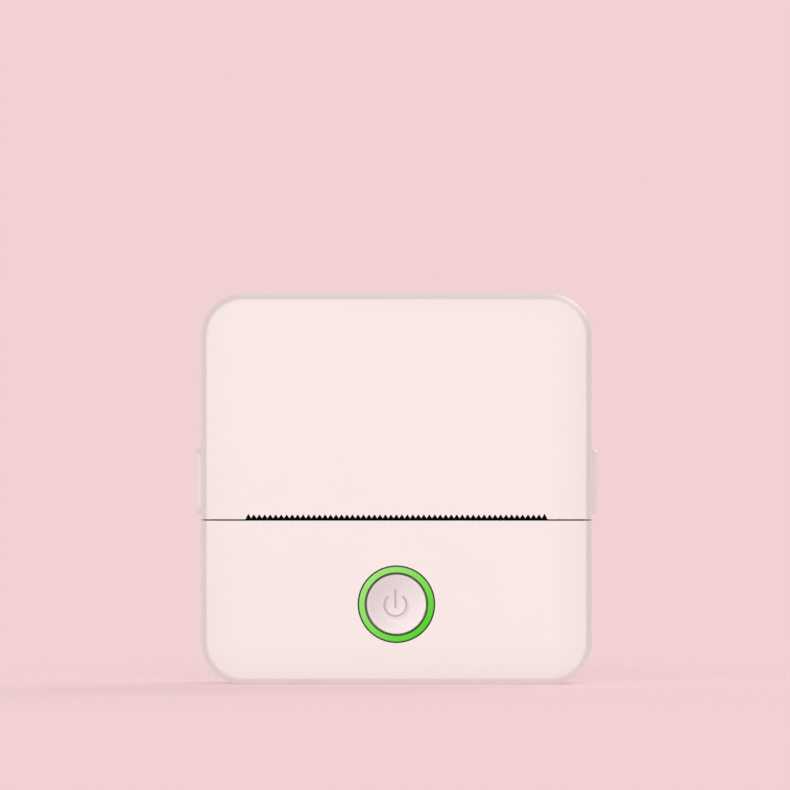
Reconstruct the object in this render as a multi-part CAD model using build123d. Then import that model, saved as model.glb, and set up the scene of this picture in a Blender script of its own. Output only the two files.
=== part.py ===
"""Portable thermal printer for 57 mm paper: a square pocket casing that stands on its lower edge.

The front has two pieces: a fixed lower panel with a round power button in a lit ring, and a hinged paper
cover above it whose lower edge is cut into tear teeth. The cover carries the rubber platen roller. Behind it
are the paper bay, the thermal head on its two springs, the gear train, the motor, the board and the battery.

Frame: millimetres, +X to the viewer's right, +Y into the depth, +Z up. The origin is the centre of the
casing's footprint on the surface that it stands on.
"""
from build123d import *
from math import acos, atan2, cos, degrees, hypot, pi, radians, sin, sqrt, tan
import os

# Casing
BODY_W = 82.0
BODY_H = 82.0
BODY_D = 40.0
CORNER_R = 9.0          # corners of the square outline, seen from the front
BACK_EDGE_R = 2.5       # rounding all round the back, and the radius of the hinge barrel
RIM_W = 1.35            # bevelled rim all round the front, seen from the front
RIM_D = 3.0             # depth of the bevel along the sides
RIM_FRONT_R = 0.45      # rounding between the bevel and the front
RIM_SIDE_R = 1.5        # rounding between the bevel and the sides
CROWN_W = 7.6           # soft slope that runs round the front face
CROWN_DROP = 0.5
WALL = 1.8
FRONT_WALL = 2.0
FRONT_DEPTH = 9.0       # depth of the cover and of the lower panel, from the front to the seam
SPLIT_Z = BODY_H * 0.4207   # height of the line between the lower panel and the cover
COVER_GAP = 0.3         # open line round the cover
SEAM_GAP = 0.12         # closed seam between the lower panel and the rear shell
LIP_T = 0.9             # locating lip of the rear shell inside the lower panel
LIP_REACH = 1.4
FIT = 0.1               # clearance of pieces that sit still against each other
RUN = 0.3               # clearance of pieces that move past each other

FRONT_Y = -BODY_D / 2
BACK_Y = BODY_D / 2
SIDE_X = BODY_W / 2
SEAM_Y = FRONT_Y + FRONT_DEPTH
PANEL_IN_Y = FRONT_Y + FRONT_WALL      # inner face of the front wall
BACK_IN_Y = BACK_Y - WALL              # inner face of the back wall
SIDE_IN_X = SIDE_X - WALL              # inner face of the side walls

# Hinge of the cover, along the upper back edge
HINGE_Y = BACK_Y - BACK_EDGE_R
HINGE_Z = BODY_H - BACK_EDGE_R
BARREL_R = BACK_EDGE_R - 0.02
HINGE_PIN_R = 0.8
HINGE_PIN_RUN = 0.05
KNUCKLE_X = 25.0        # middle of each knuckle of the rear shell
KNUCKLE_W = 6.0
BARREL_IN_W = 5.5       # cover barrel on the inner side of each knuckle
STRIP_Z = HINGE_Z - BACK_EDGE_R - COVER_GAP / 2   # seam under the cover's top strip

# Paper bay
PAPER_W = 57.0
ROLL_CLEAR = 0.9
TRAY_T = 1.2
LINER_T = 1.2           # plate of the liner inside the cover
LINER_FRONT_Y = PANEL_IN_Y + 0.4
LINER_BACK_Y = LINER_FRONT_Y + LINER_T
BAY_FRONT_Y = LINER_BACK_Y + 1.3
TRAY_R = (BACK_IN_Y - RUN - TRAY_T - BAY_FRONT_Y) / 2
ROLL_R = TRAY_R - ROLL_CLEAR           # largest roll that the bay takes
ROLL_Y = BAY_FRONT_Y + TRAY_R
ROLL_Z = STRIP_Z - COVER_GAP / 2 - RUN - TRAY_R
TRAY_FRONT_ANGLE = -135.0
TRAY_BACK_ANGLE = 40.0

# Frame cheeks at the two ends of the bay, and the cover's ears outside them
CHEEK_IN_X = PAPER_W / 2 + 0.5
CHEEK_T = 1.6
CHEEK_OUT_X = CHEEK_IN_X + CHEEK_T
EAR_IN_X = CHEEK_OUT_X + 0.4
EAR_T = 1.5
EAR_OUT_X = EAR_IN_X + EAR_T

# Platen roller
PLATEN_R = 4.2
PLATEN_CORE_R = 2.25
SHAFT_R = 1.5
SHAFT_RUN = 0.05
BUSH_R = 3.0
PLATEN_Y = FRONT_Y + 8.0
PLATEN_Z = SPLIT_Z + 5.3
PLATEN_END_X = CHEEK_IN_X - 0.25
GUIDE_R = PLATEN_R + 1.0               # paper guide behind the platen
GUIDE_TOP_ANGLE = 60.0
GUIDE_LOW_ANGLE = -30.0

# Thermal head
NIP = 0.25              # paper gap between the platen and the head
HEAD_TOP_Z = PLATEN_Z - PLATEN_R - NIP
SUBSTRATE_T = 1.0
SUBSTRATE_D = 9.0
SINK_T = 2.5
HEAD_FRONT_Y = PLATEN_Y - 3.5
SINK_BACK_Y = PLATEN_Y + 8.0
SINK_TOP_Z = HEAD_TOP_Z - SUBSTRATE_T
SINK_LOW_Z = SINK_TOP_Z - SINK_T
HEAD_END_X = CHEEK_IN_X - 0.4
TRUNNION_R = 1.0
TRUNNION_Y = PLATEN_Y + 5.5
TRUNNION_Z = (SINK_TOP_Z + SINK_LOW_Z) / 2
HEAD_SPRING_H = 4.35
SHELF_TOP_Z = SINK_LOW_Z - HEAD_SPRING_H
SHELF_T = 1.2
SHELF_LOW_Z = SHELF_TOP_Z - SHELF_T
HEAD_SPRING_X = 18.0

# Slot and tear edge in the cover's lower lip
TEETH = 55
TOOTH_PITCH = 1.15
TOOTH_TIP_RISE = 0.22   # from the lip's edge up to the tips of the teeth
NOTCH_H = 0.82          # from the tips up to the roots between the teeth
END_NOTCH_EXTRA = 0.15
END_SLOPE = 0.63
LIP_WALL = 1.0          # thickness of the lip where the teeth are cut
STRIP_T = 0.8
STRIP_H = 2.4
STRIP_RISE = 0.1        # from the lip's edge up to the strip behind the teeth
SLOT_HALF = (TEETH - 1) * TOOTH_PITCH / 2 + END_SLOPE

# Power button and its lit ring
BUTTON_Z = BODY_H * 0.2055
RING_R = 8.0
RING_IN_R = 6.55
RING_FLANGE_R = 9.6
RING_FLANGE_T = 1.0
RING_LINE = 0.14        # dark line round the ring
BUTTON_R = 6.25
BUTTON_PROUD = 0.0
BUTTON_TRAVEL = 0.4
BUTTON_DISH_R = 5.7
BUTTON_DISH_DEPTH = 0.9
BUTTON_FLANGE_R = 7.4
SIGN_R = 2.32           # power sign sunk in the cap: middle of its arc
SIGN_LINE = 0.45
SIGN_STROKE = 0.6
SIGN_TOP = 3.4
SIGN_LOW = -0.4
SIGN_GAP = 39.0         # half the gap at the top of the arc, in degrees
SIGN_DROP = 0.4         # centre of the arc below the centre of the cap
SIGN_DEPTH = 0.25
SWITCH_W = 6.0
SWITCH_H = 3.0
PLUNGER_R = 1.7

# Main board, standing behind the lower panel
BOARD_T = 1.6
BOARD_FRONT_Y = FRONT_Y + 9.0
BOARD_BACK_Y = BOARD_FRONT_Y + BOARD_T
BOARD_HALF_W = 29.0
BOARD_LOW_Z = 3.0
BOARD_TOP_Z = SHELF_LOW_Z - 0.9
BOARD_SCREW_X = 25.0
BOARD_SCREW_LOW_Z = 5.6
BOARD_SCREW_TOP_Z = BOARD_TOP_Z - 2.9
USB_Z = 16.0
USB_W = 8.94
USB_H = 3.2
USB_L = 7.35

# Bulkhead of the frame between the board and the battery
BULKHEAD_T = 1.2
BULKHEAD_FRONT_Y = BOARD_BACK_Y + 4.8
BULKHEAD_BACK_Y = BULKHEAD_FRONT_Y + BULKHEAD_T
BULKHEAD_LOW_Z = 2.4

# Battery
BATTERY_W = 54.0
BATTERY_H = 22.0
BATTERY_T = 10.0
TAPE_T = 0.8
BATTERY_LOW_Z = 2.6

# Gears
MODULE = 0.5
PRESSURE_ANGLE = 25.0
ADDENDUM = 0.8
DEDENDUM = 1.1
BACKLASH = 0.1
PLATEN_TEETH = 20
IDLER_TEETH = 28
SMALL_TEETH = 15
LARGE_TEETH = 36
PINION_TEETH = 12
INNER_GEAR_X = EAR_OUT_X + 0.4         # start of the inner gear layer
INNER_GEAR_W = 2.3
OUTER_GEAR_X = INNER_GEAR_X + INNER_GEAR_W + 0.4
OUTER_GEAR_W = 2.4
OUTER_GEAR_END_X = OUTER_GEAR_X + OUTER_GEAR_W
GEAR_PIN_R = 0.8
SHOULDER_R = 1.1

# Motor
MOTOR_R = 7.0
MOTOR_L = 11.0
MOTOR_SHAFT_R = 0.75
MOTOR_FLANGE_T = 1.0
MOTOR_SCREW_REACH = 9.0
MOTOR_EAR_ANGLE = 115.0                # direction of the upper ear from the motor's axis

# Cover release buttons in the side walls
RELEASE_Y = BACK_IN_Y - 7.2
RELEASE_Z = SPLIT_Z + 7.95
RELEASE_D = 8.0
RELEASE_H = 13.5
RELEASE_R = 2.5
RELEASE_PROUD = 1.3
RELEASE_EDGE_R = 0.45
RELEASE_TRAVEL = 1.0
RELEASE_FLANGE_T = 1.1
RELEASE_RIM = 1.0
RELEASE_FIT = 0.2
GRIP_R = 0.35           # grip grooves across the outside of each release button
GRIP_PITCH = 2.2
ARM_T = 0.8
ARM_H = 3.0
ARM_OUT_X = SIDE_X - 4.7
LATCH_NOSE = 0.4
LUG_OUT_X = SIDE_IN_X - 0.4
LUG_T = 1.2
LUG_IN_X = LUG_OUT_X - LUG_T
LUG_BUMP = LUG_IN_X - ARM_OUT_X - LATCH_NOSE - 0.2

# Fasteners
CASE_SCREW_R = 1.0
CASE_HEAD_R = 1.9
CASE_HEAD_H = 1.4
CASE_SCREW_X = SIDE_X - 7.4
CASE_SCREW_LOW_Z = 8.0
CASE_SCREW_TOP_Z = BODY_H - 18.0
CASE_POST_R = 2.8
COUNTERBORE = 3.5
SMALL_SCREW_R = 0.8
SMALL_HEAD_R = 1.6
SMALL_HEAD_H = 1.1
THREAD_FIT = 0.02       # drawn clearance between a screw's thread and its hole


def block(x0, x1, y0, y1, z0, z1):
    """A box between two corners."""
    return Pos((x0 + x1) / 2, (y0 + y1) / 2, (z0 + z1) / 2) * Box(abs(x1 - x0), abs(y1 - y0), abs(z1 - z0))


def rod_x(radius, x0, x1, y, z):
    """A cylinder along X."""
    return Pos((x0 + x1) / 2, y, z) * Rot(0, 90, 0) * Cylinder(radius, abs(x1 - x0))


def rod_y(radius, y0, y1, x, z):
    """A cylinder along Y."""
    return Pos(x, (y0 + y1) / 2, z) * Rot(90, 0, 0) * Cylinder(radius, abs(y1 - y0))


def rod_z(radius, z0, z1, x, y):
    """A cylinder along Z."""
    return Pos(x, y, (z0 + z1) / 2) * Cylinder(radius, abs(z1 - z0))


def front_plate(outline, y0, y1):
    """An outline drawn in X and Z, given thickness from y0 to y1."""
    return extrude(Plane.XZ.offset(-y1) * outline, y1 - y0)


def side_plate(outline, x0, x1):
    """An outline drawn in Y and Z, given thickness from x0 to x1."""
    return extrude(Plane.YZ.offset(min(x0, x1)) * outline, abs(x1 - x0))


def both_sides(shape):
    """A shape and its mirror image on the other side of the casing."""
    return shape + mirror(shape, Plane.YZ)


def polar(centre, distance, angle):
    """The point at a distance and an angle in degrees from a centre, in the Y-Z plane."""
    return (centre[0] + distance * cos(radians(angle)), centre[1] + distance * sin(radians(angle)))


def sector(centre, inner, outer, start, end):
    """A ring sector in the Y-Z plane, from one angle to another in degrees."""
    middle = (start + end) / 2
    return make_face(
        [
            ThreePointArc(polar(centre, inner, start), polar(centre, inner, middle), polar(centre, inner, end)),
            Line(polar(centre, inner, end), polar(centre, outer, end)),
            ThreePointArc(polar(centre, outer, end), polar(centre, outer, middle), polar(centre, outer, start)),
            Line(polar(centre, outer, start), polar(centre, inner, start)),
        ]
    )


def solids(*shapes):
    """Several separate solids in one node."""
    found = [solid for shape in shapes for solid in shape.solids()]
    return Compound(children=found) if len(found) > 1 else found[0]


def square_form(inset, y0, y1):
    """The casing's rounded square outline, drawn in by an inset, from y0 to y1."""
    outline = RectangleRounded(BODY_W - 2 * inset, BODY_H - 2 * inset, CORNER_R - inset)
    return front_plate(Pos(0, BODY_H / 2) * outline, y0, y1)


def crown_cut():
    """What the soft slope takes off: one profile along the sides and round the corners."""
    out = FRONT_Y - 1
    profile = make_face(
        [
            Line((out, -1), (out, CROWN_W)),
            Line((out, CROWN_W), (FRONT_Y, CROWN_W)),
            TangentArc((FRONT_Y, CROWN_W), (FRONT_Y + CROWN_DROP, 0), tangent=(0, -1)),
            Line((FRONT_Y + CROWN_DROP, 0), (FRONT_Y + CROWN_DROP, -1)),
            Line((FRONT_Y + CROWN_DROP, -1), (out, -1)),
        ]
    )
    flat = BODY_W / 2 - CORNER_R
    corner = revolve(Plane.YZ.offset(flat) * profile, Axis((flat, 0, CORNER_R), (0, -1, 0)), 90)
    upright = Rot(0, -90, 0) * side_plate(profile, CORNER_R, BODY_H - CORNER_R)
    quarter = side_plate(profile, -flat, flat) + corner + Pos(SIDE_X, 0, 0) * upright
    return both_sides(quarter + mirror(quarter, Plane.XY.offset(BODY_H / 2)))


def casing_form():
    """The casing's outer form: soft crowned front, bevelled rim, rounded back edge."""
    rim_y = FRONT_Y + RIM_D
    form = square_form(0, rim_y, BACK_Y)
    form = fillet(form.faces().sort_by(Axis.Y)[-1].edges(), BACK_EDGE_R)
    outline = Pos(0, BODY_H / 2) * RectangleRounded(BODY_W, BODY_H, CORNER_R)
    form += extrude(Plane.XZ.offset(-rim_y) * outline, RIM_D, taper=degrees(atan2(RIM_W, RIM_D)))
    form -= crown_cut()
    form = fillet(level_edges(form, rim_y - 0.01, rim_y + 0.01), RIM_SIDE_R)
    return fillet(level_edges(form, FRONT_Y + 0.05, FRONT_Y + CROWN_DROP), RIM_FRONT_R)


def level_edges(form, y0, y1):
    """The edges of a form that run all round it at one depth, between y0 and y1."""
    return [e for e in form.edges() if e.bounding_box().size.Y < 0.002 and y0 < e.center().Y < y1]


def casing_shell():
    """The hollow casing before it is split into its three shells."""
    return casing_form() - square_form(WALL, PANEL_IN_Y, BACK_IN_Y)


def cover_room():
    """Side view of the room that the rear shell leaves for the cover and its barrel."""
    far = BODY_H * 2
    low, seam, strip = SPLIT_Z - COVER_GAP / 2, SEAM_Y + COVER_GAP / 2, STRIP_Z - COVER_GAP / 2
    barrel = HINGE_Z - strip
    turn = sin(radians(45))
    return make_face(
        [
            Line((-far, low), (seam, low)),
            Line((seam, low), (seam, strip)),
            Line((seam, strip), (HINGE_Y, strip)),
            ThreePointArc(
                (HINGE_Y, strip),
                (HINGE_Y + barrel * turn, HINGE_Z - barrel * turn),
                (HINGE_Y + barrel, HINGE_Z),
            ),
            Line((HINGE_Y + barrel, HINGE_Z), (HINGE_Y + barrel, far)),
            Line((HINGE_Y + barrel, far), (-far, far)),
            Line((-far, far), (-far, low)),
        ]
    )


def below_cover():
    """Side view of everything under and behind the cover's own edges."""
    far = BODY_H * 2
    low, seam, strip = SPLIT_Z + COVER_GAP / 2, SEAM_Y - COVER_GAP / 2, STRIP_Z + COVER_GAP / 2
    return make_face(
        Polyline(
            (-far, low),
            (seam, low),
            (seam, strip),
            (HINGE_Y, strip),
            (HINGE_Y, HINGE_Z),
            (far, HINGE_Z),
            (far, -far),
            (-far, -far),
            close=True,
        )
    )


def tear_cut():
    """The paper slot with its tear teeth: one zigzag that is cut up into the cover's lip."""
    edge = SPLIT_Z + COVER_GAP / 2
    tip = edge + TOOTH_TIP_RISE
    root = tip + NOTCH_H
    below = SPLIT_Z - 2
    points = [(-SLOT_HALF, below), (-SLOT_HALF, edge)]
    for n in range(TEETH):
        x = (n - (TEETH - 1) / 2) * TOOTH_PITCH
        at_end = n in (0, TEETH - 1)
        points.append((x, root + END_NOTCH_EXTRA if at_end else root))
        if n < TEETH - 1:
            points.append((x + TOOTH_PITCH / 2, tip))
    points += [(SLOT_HALF, edge), (SLOT_HALF, below)]
    return front_plate(make_face(Polyline(*points, close=True)), FRONT_Y - 1, PANEL_IN_Y + 0.5)


def top_cover(shell):
    """The hinged paper cover: front, top and upper sides, with the hinge barrel and the tear teeth."""
    cover = shell - side_plate(below_cover(), -BODY_W, BODY_W)
    flat_half = BODY_W / 2 - CORNER_R
    cover += rod_x(BARREL_R, -SIDE_X, SIDE_X, HINGE_Y, HINGE_Z) & casing_form()
    reach = BACK_EDGE_R + COVER_GAP
    inner = KNUCKLE_X - KNUCKLE_W / 2
    outer = KNUCKLE_X + KNUCKLE_W / 2
    notch = block(inner - COVER_GAP, outer + COVER_GAP, HINGE_Y - reach - 0.3, BACK_Y + 1, STRIP_Z - 2, BODY_H + 1)
    cover -= both_sides(notch)
    pin_room = rod_x(
        HINGE_PIN_R + HINGE_PIN_RUN, inner - BARREL_IN_W - FIT, flat_half + 0.5, HINGE_Y, HINGE_Z
    )
    cover -= both_sides(pin_room)
    middle = inner - BARREL_IN_W - 2
    barrel_gap = block(-middle, middle, HINGE_Y - reach, BACK_IN_Y, STRIP_Z, BODY_H - WALL)
    cover -= barrel_gap
    cover -= tear_cut()
    pocket_top = SPLIT_Z + COVER_GAP / 2 + STRIP_H + 0.7
    half = SLOT_HALF + 0.9
    cover -= block(-half, half, FRONT_Y + LIP_WALL, PANEL_IN_Y + 0.5, SPLIT_Z - 1, pocket_top)
    for z in LINER_SCREW_Z:
        boss = rod_y(LINER_BOSS_R, PANEL_IN_Y - 0.5, LINER_TAB_Y, LINER_SCREW_X, z)
        hole = rod_y(SMALL_SCREW_R + THREAD_FIT, PANEL_IN_Y, LINER_TAB_Y + 1, LINER_SCREW_X, z)
        cover += both_sides(boss)
        cover -= both_sides(hole)
    return cover


# Cover liner: the moulding inside the cover that carries the platen and the latch lugs
LINER_LOW_Z = PLATEN_Z + PLATEN_R + 1.5
LINER_TOP_Z = ROLL_Z + TRAY_R - 0.4
LINER_HALF_W = SIDE_X - 3.6
LINER_TAB_Y = LINER_FRONT_Y + 3.4
LINER_SCREW_X = SIDE_X - 6.4
LINER_SCREW_Z = (LINER_LOW_Z + 6.5, LINER_TOP_Z - 5.0)
LINER_BOSS_R = 2.0
RIB_XS = (-24.0, -12.0, 0.0, 12.0, 24.0)
RIB_T = 1.2
RIB_R = TRAY_R + 0.4
EAR_R = BUSH_R + 0.9
LUG_LOW_Z = RELEASE_Z + 3.35
LUG_TOP_Z = LUG_LOW_Z + 4.4
LUG_BACK_Y = SEAM_Y + 5.0


def liner_rib():
    """Side view of one rib that backs the roll, between the liner's plate and the cover's top."""
    top = BODY_H - WALL - 0.4
    corner = Polyline(
        (LINER_BACK_Y - 0.3, ROLL_Z - 4),
        (LINER_BACK_Y - 0.3, top - 1.5),
        (LINER_BACK_Y + 1.2, top),
        (ROLL_Y, top),
        (ROLL_Y, ROLL_Z),
        close=True,
    )
    return make_face(corner) - Pos(ROLL_Y, ROLL_Z) * Circle(RIB_R)


def cover_liner():
    """The cover's inner moulding: plate, roll ribs, platen ears, screw tabs and latch lugs."""
    liner = block(-LINER_HALF_W, LINER_HALF_W, LINER_FRONT_Y, LINER_BACK_Y, LINER_LOW_Z, LINER_TOP_Z)
    for x in RIB_XS:
        liner += side_plate(liner_rib(), x - RIB_T / 2, x + RIB_T / 2)
    platen = (PLATEN_Y, PLATEN_Z)
    arm_low, arm_top = LINER_SCREW_Z[0] - 4, LINER_SCREW_Z[0] + 4
    ear = make_hull(
        (Pos(*platen) * Circle(EAR_R)).edges()
        + (
            Pos((LINER_FRONT_Y + LINER_TAB_Y + LINER_T) / 2, (arm_low + arm_top) / 2)
            * Rectangle(LINER_TAB_Y + LINER_T - LINER_FRONT_Y, arm_top - arm_low)
        ).edges()
    )
    side = side_plate(ear, EAR_IN_X, EAR_OUT_X)
    for z in LINER_SCREW_Z:
        side += block(EAR_IN_X, EAR_OUT_X, LINER_FRONT_Y, LINER_TAB_Y + LINER_T, z - 4, z + 4)
        side += block(EAR_IN_X, LINER_HALF_W, LINER_TAB_Y, LINER_TAB_Y + LINER_T, z - 4, z + 4)
    side += block(EAR_IN_X, LUG_OUT_X, LINER_FRONT_Y, LINER_BACK_Y, LUG_LOW_Z, LUG_TOP_Z)
    side += block(LUG_IN_X, LUG_OUT_X, LINER_FRONT_Y, LUG_BACK_Y, LUG_LOW_Z, LUG_TOP_Z)
    side += block(LUG_IN_X - LUG_BUMP, LUG_IN_X, LUG_BACK_Y - 1.5, LUG_BACK_Y, LUG_LOW_Z, LUG_TOP_Z)
    side -= rod_x(BUSH_R + FIT / 5, EAR_IN_X - 1, EAR_OUT_X + 1, *platen)
    for z in LINER_SCREW_Z:
        side -= rod_y(LINER_BOSS_R + FIT, LINER_FRONT_Y - 1, LINER_TAB_Y, LINER_SCREW_X, z)
        side -= rod_y(SMALL_SCREW_R + FIT, LINER_TAB_Y - 1, LINER_TAB_Y + LINER_T + 1, LINER_SCREW_X, z)
    liner += both_sides(side)
    for z in LINER_SCREW_Z:
        liner -= both_sides(rod_y(LINER_BOSS_R + FIT, LINER_FRONT_Y - 1, LINER_TAB_Y, LINER_SCREW_X, z))
    return liner


def tear_strip():
    """Black strip behind the tear teeth, set in a pocket of the cover's lip."""
    low = SPLIT_Z + COVER_GAP / 2 + STRIP_RISE
    front = FRONT_Y + LIP_WALL + 0.04
    half = SLOT_HALF + 0.6
    return block(-half, half, front, front + STRIP_T, low, low + STRIP_H)


def small_screw(x, z, head_y, length, toward):
    """A pan-head screw along Y: the head's underside at head_y, the shank running toward +1 or -1."""
    head = rod_y(SMALL_HEAD_R, head_y, head_y - toward * SMALL_HEAD_H, x, z)
    outer = head.faces().sort_by(Axis.Y)[0 if toward > 0 else -1]
    head = fillet(outer.edges(), SMALL_HEAD_H * 0.4)
    return head + rod_y(SMALL_SCREW_R, head_y - toward * 0.1, head_y + toward * length, x, z)


def liner_screws():
    """Four screws that hold the liner to the cover."""
    head_y = LINER_TAB_Y + LINER_T
    screws = [small_screw(s * LINER_SCREW_X, z, head_y, 4.2, -1) for s in (-1, 1) for z in LINER_SCREW_Z]
    return solids(*screws)


def hinge_pins():
    """Two steel pins, each through a knuckle of the rear shell and the cover barrel beside it."""
    inner = KNUCKLE_X - KNUCKLE_W / 2 - BARREL_IN_W + 0.4
    outer = BODY_W / 2 - CORNER_R - 0.3
    pin = rod_x(HINGE_PIN_R, inner, outer, HINGE_Y, HINGE_Z)
    return solids(pin, mirror(pin, Plane.YZ))


def release_opening(inset, x0, x1):
    """The rounded outline of a release button, from x0 to x1, grown by an inset below zero."""
    outline = RectangleRounded(RELEASE_D - 2 * inset, RELEASE_H - 2 * inset, RELEASE_R - inset)
    return side_plate(Pos(RELEASE_Y, RELEASE_Z) * outline, x0, x1)


def case_post(z, front_y):
    """A screw post of the rear shell, from the back wall to front_y."""
    return rod_y(CASE_POST_R, front_y, BACK_IN_Y + 0.5, CASE_SCREW_X, z)


def rear_shell(shell):
    """The rear shell: back, sides and base, with hinge knuckles, screw posts and the side openings."""
    rear = shell & block(-BODY_W, BODY_W, SEAM_Y + COVER_GAP / 2, BODY_D, -1, BODY_H + 1)
    rear -= side_plate(cover_room(), -BODY_W, BODY_W)
    lip = square_form(WALL + FIT, SEAM_Y - LIP_REACH, SEAM_Y + COVER_GAP / 2) + square_form(
        WALL - 0.2, SEAM_Y + COVER_GAP / 2, SEAM_Y + 1.1
    )
    lip -= square_form(WALL + FIT + LIP_T, SEAM_Y - LIP_REACH - 1, SEAM_Y + 2)
    rear += lip & block(-BODY_W, BODY_W, FRONT_Y, BACK_Y, -1, SPLIT_Z - 1.2)
    for s in (-1, 1):
        inner, outer = s * (KNUCKLE_X - KNUCKLE_W / 2), s * (KNUCKLE_X + KNUCKLE_W / 2)
        rear += rod_x(BACK_EDGE_R, inner, outer, HINGE_Y, HINGE_Z)
        web = block(inner, outer, HINGE_Y, BACK_Y, STRIP_Z - 2, HINGE_Z)
        rear += web
        rear -= rod_x(HINGE_PIN_R + FIT / 5, inner, outer, HINGE_Y, HINGE_Z)
        rear -= release_opening(-RELEASE_FIT, s * (SIDE_IN_X - 2), s * (SIDE_X + 1))
    rear += both_sides(case_post(CASE_SCREW_LOW_Z, BULKHEAD_BACK_Y))
    rear += both_sides(case_post(CASE_SCREW_TOP_Z, FRAME_BOSS_Y))
    for z in (CASE_SCREW_LOW_Z, CASE_SCREW_TOP_Z):
        hole = rod_y(CASE_SCREW_R + 0.2, BULKHEAD_BACK_Y - 1, BACK_Y + 1, CASE_SCREW_X, z)
        hole += rod_y(CASE_HEAD_R + 0.2, BACK_Y - COUNTERBORE, BACK_Y + 1, CASE_SCREW_X, z)
        rear -= both_sides(hole)
    usb_room = SlotOverall(USB_W + 0.5, USB_H + 0.5, rotation=90)
    rear -= side_plate(Pos(BOARD_BACK_Y + USB_H / 2, USB_Z) * usb_room, SIDE_IN_X - 0.5, SIDE_X + 1)
    return rear


FRAME_BOSS_Y = BACK_IN_Y - 5.2     # joint between the frame's upper bosses and the rear shell's posts


def front_panel(shell):
    """The fixed lower front panel, with the hole for the ring and two screw bosses."""
    seam = SEAM_Y + COVER_GAP / 2 - SEAM_GAP
    panel = shell & block(-BODY_W, BODY_W, FRONT_Y - 1, seam, -1, SPLIT_Z - COVER_GAP / 2)
    panel -= rod_y(RING_R + RING_LINE, FRONT_Y - 1, PANEL_IN_Y + 1, 0, BUTTON_Z)
    lip_top = SPLIT_Z - COVER_GAP / 2
    panel += block(-SLOT_HALF, SLOT_HALF, PANEL_IN_Y - 0.5, HEAD_FRONT_Y - 0.9, lip_top - 1.6, lip_top)
    boss = rod_y(CASE_POST_R, PANEL_IN_Y - 0.5, BULKHEAD_FRONT_Y, CASE_SCREW_X, CASE_SCREW_LOW_Z)
    hole = rod_y(CASE_SCREW_R + THREAD_FIT, PANEL_IN_Y + 2, BULKHEAD_FRONT_Y + 1, CASE_SCREW_X, CASE_SCREW_LOW_Z)
    panel += both_sides(boss)
    panel -= both_sides(hole)
    return panel


def case_screws():
    """Four screws from the back: two long ones to the lower panel, two short ones to the frame."""
    made = []
    seat = BACK_Y - COUNTERBORE
    for z, end in ((CASE_SCREW_LOW_Z, BULKHEAD_FRONT_Y - 4.4), (CASE_SCREW_TOP_Z, FRAME_BOSS_Y - 5)):
        head = rod_y(CASE_HEAD_R, seat, seat + CASE_HEAD_H, CASE_SCREW_X, z)
        head = fillet(head.faces().sort_by(Axis.Y)[-1].edges(), CASE_HEAD_H * 0.4)
        screw = head + rod_y(CASE_SCREW_R, end, seat + 0.1, CASE_SCREW_X, z)
        made += [screw, mirror(screw, Plane.YZ)]
    return solids(*made)


def light_ring():
    """The clear ring round the button, with a flange behind the panel and four legs to the lamps."""
    back = PANEL_IN_Y + 2.0
    ring = rod_y(RING_R, FRONT_Y + 0.05, back, 0, BUTTON_Z)
    flange_y = PANEL_IN_Y + 0.05
    ring += rod_y(RING_FLANGE_R, flange_y, flange_y + RING_FLANGE_T, 0, BUTTON_Z)
    for x, z in LAMP_SPOTS:
        ring += rod_y(LEG_R, flange_y + 0.5, BOARD_FRONT_Y - LAMP_H - 0.3, x, z)
    return ring - rod_y(RING_IN_R, FRONT_Y - 1, back + 1, 0, BUTTON_Z)


LAMP_H = 0.8
LEG_R = 0.85
LAMP_R = RING_FLANGE_R - LEG_R - 0.1
LAMP_SPOTS = [
    (LAMP_R * cos(radians(a)), BUTTON_Z + LAMP_R * sin(radians(a))) for a in (45, 135, 225, 315)
]


def status_leds():
    """Four small lamps on the board behind the ring's legs."""
    lamps = [
        block(x - 0.8, x + 0.8, BOARD_FRONT_Y - LAMP_H, BOARD_FRONT_Y, z - 0.4, z + 0.4) for x, z in LAMP_SPOTS
    ]
    return solids(*lamps)


SWITCH_FRONT_Y = BOARD_FRONT_Y - SWITCH_H
BUTTON_BACK_Y = SWITCH_FRONT_Y - BUTTON_TRAVEL - 0.05


def power_sign():
    """Outline of the power sign: an arc that is open at the top, and a short upright stroke."""
    ring = Circle(SIGN_R + SIGN_LINE / 2) - Circle(SIGN_R - SIGN_LINE / 2)
    reach = 2 * SIGN_R
    half = reach * tan(radians(SIGN_GAP))
    ring -= make_face(Polyline((0, 0), (-half, reach), (half, reach), close=True))
    height = SIGN_TOP - SIGN_LOW
    stroke = Pos(0, (SIGN_TOP + SIGN_LOW) / 2) * SlotOverall(height, SIGN_STROKE, rotation=90)
    return Pos(0, BUTTON_Z - SIGN_DROP) * (ring + stroke)


def power_button():
    """The button cap: dished face with the sunk sign, flange behind the ring, boss that meets the switch."""
    face = FRONT_Y - BUTTON_PROUD
    flange_y = PANEL_IN_Y + 2.0 + RUN
    cap = rod_y(BUTTON_R, face, flange_y + 0.4, 0, BUTTON_Z)
    cap = fillet(cap.faces().sort_by(Axis.Y)[0].edges(), 0.3)
    dish_r = (BUTTON_DISH_R**2 + BUTTON_DISH_DEPTH**2) / (2 * BUTTON_DISH_DEPTH)
    centre = Pos(0, face + BUTTON_DISH_DEPTH - dish_r, BUTTON_Z)
    cap -= centre * Sphere(dish_r)
    cap -= front_plate(power_sign(), face, face + 2) & (centre * Sphere(dish_r + SIGN_DEPTH))
    cap += rod_y(BUTTON_FLANGE_R, flange_y, flange_y + 0.8, 0, BUTTON_Z)
    return cap + rod_y(PLUNGER_R + 0.1, flange_y + 0.5, BUTTON_BACK_Y, 0, BUTTON_Z)


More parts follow.
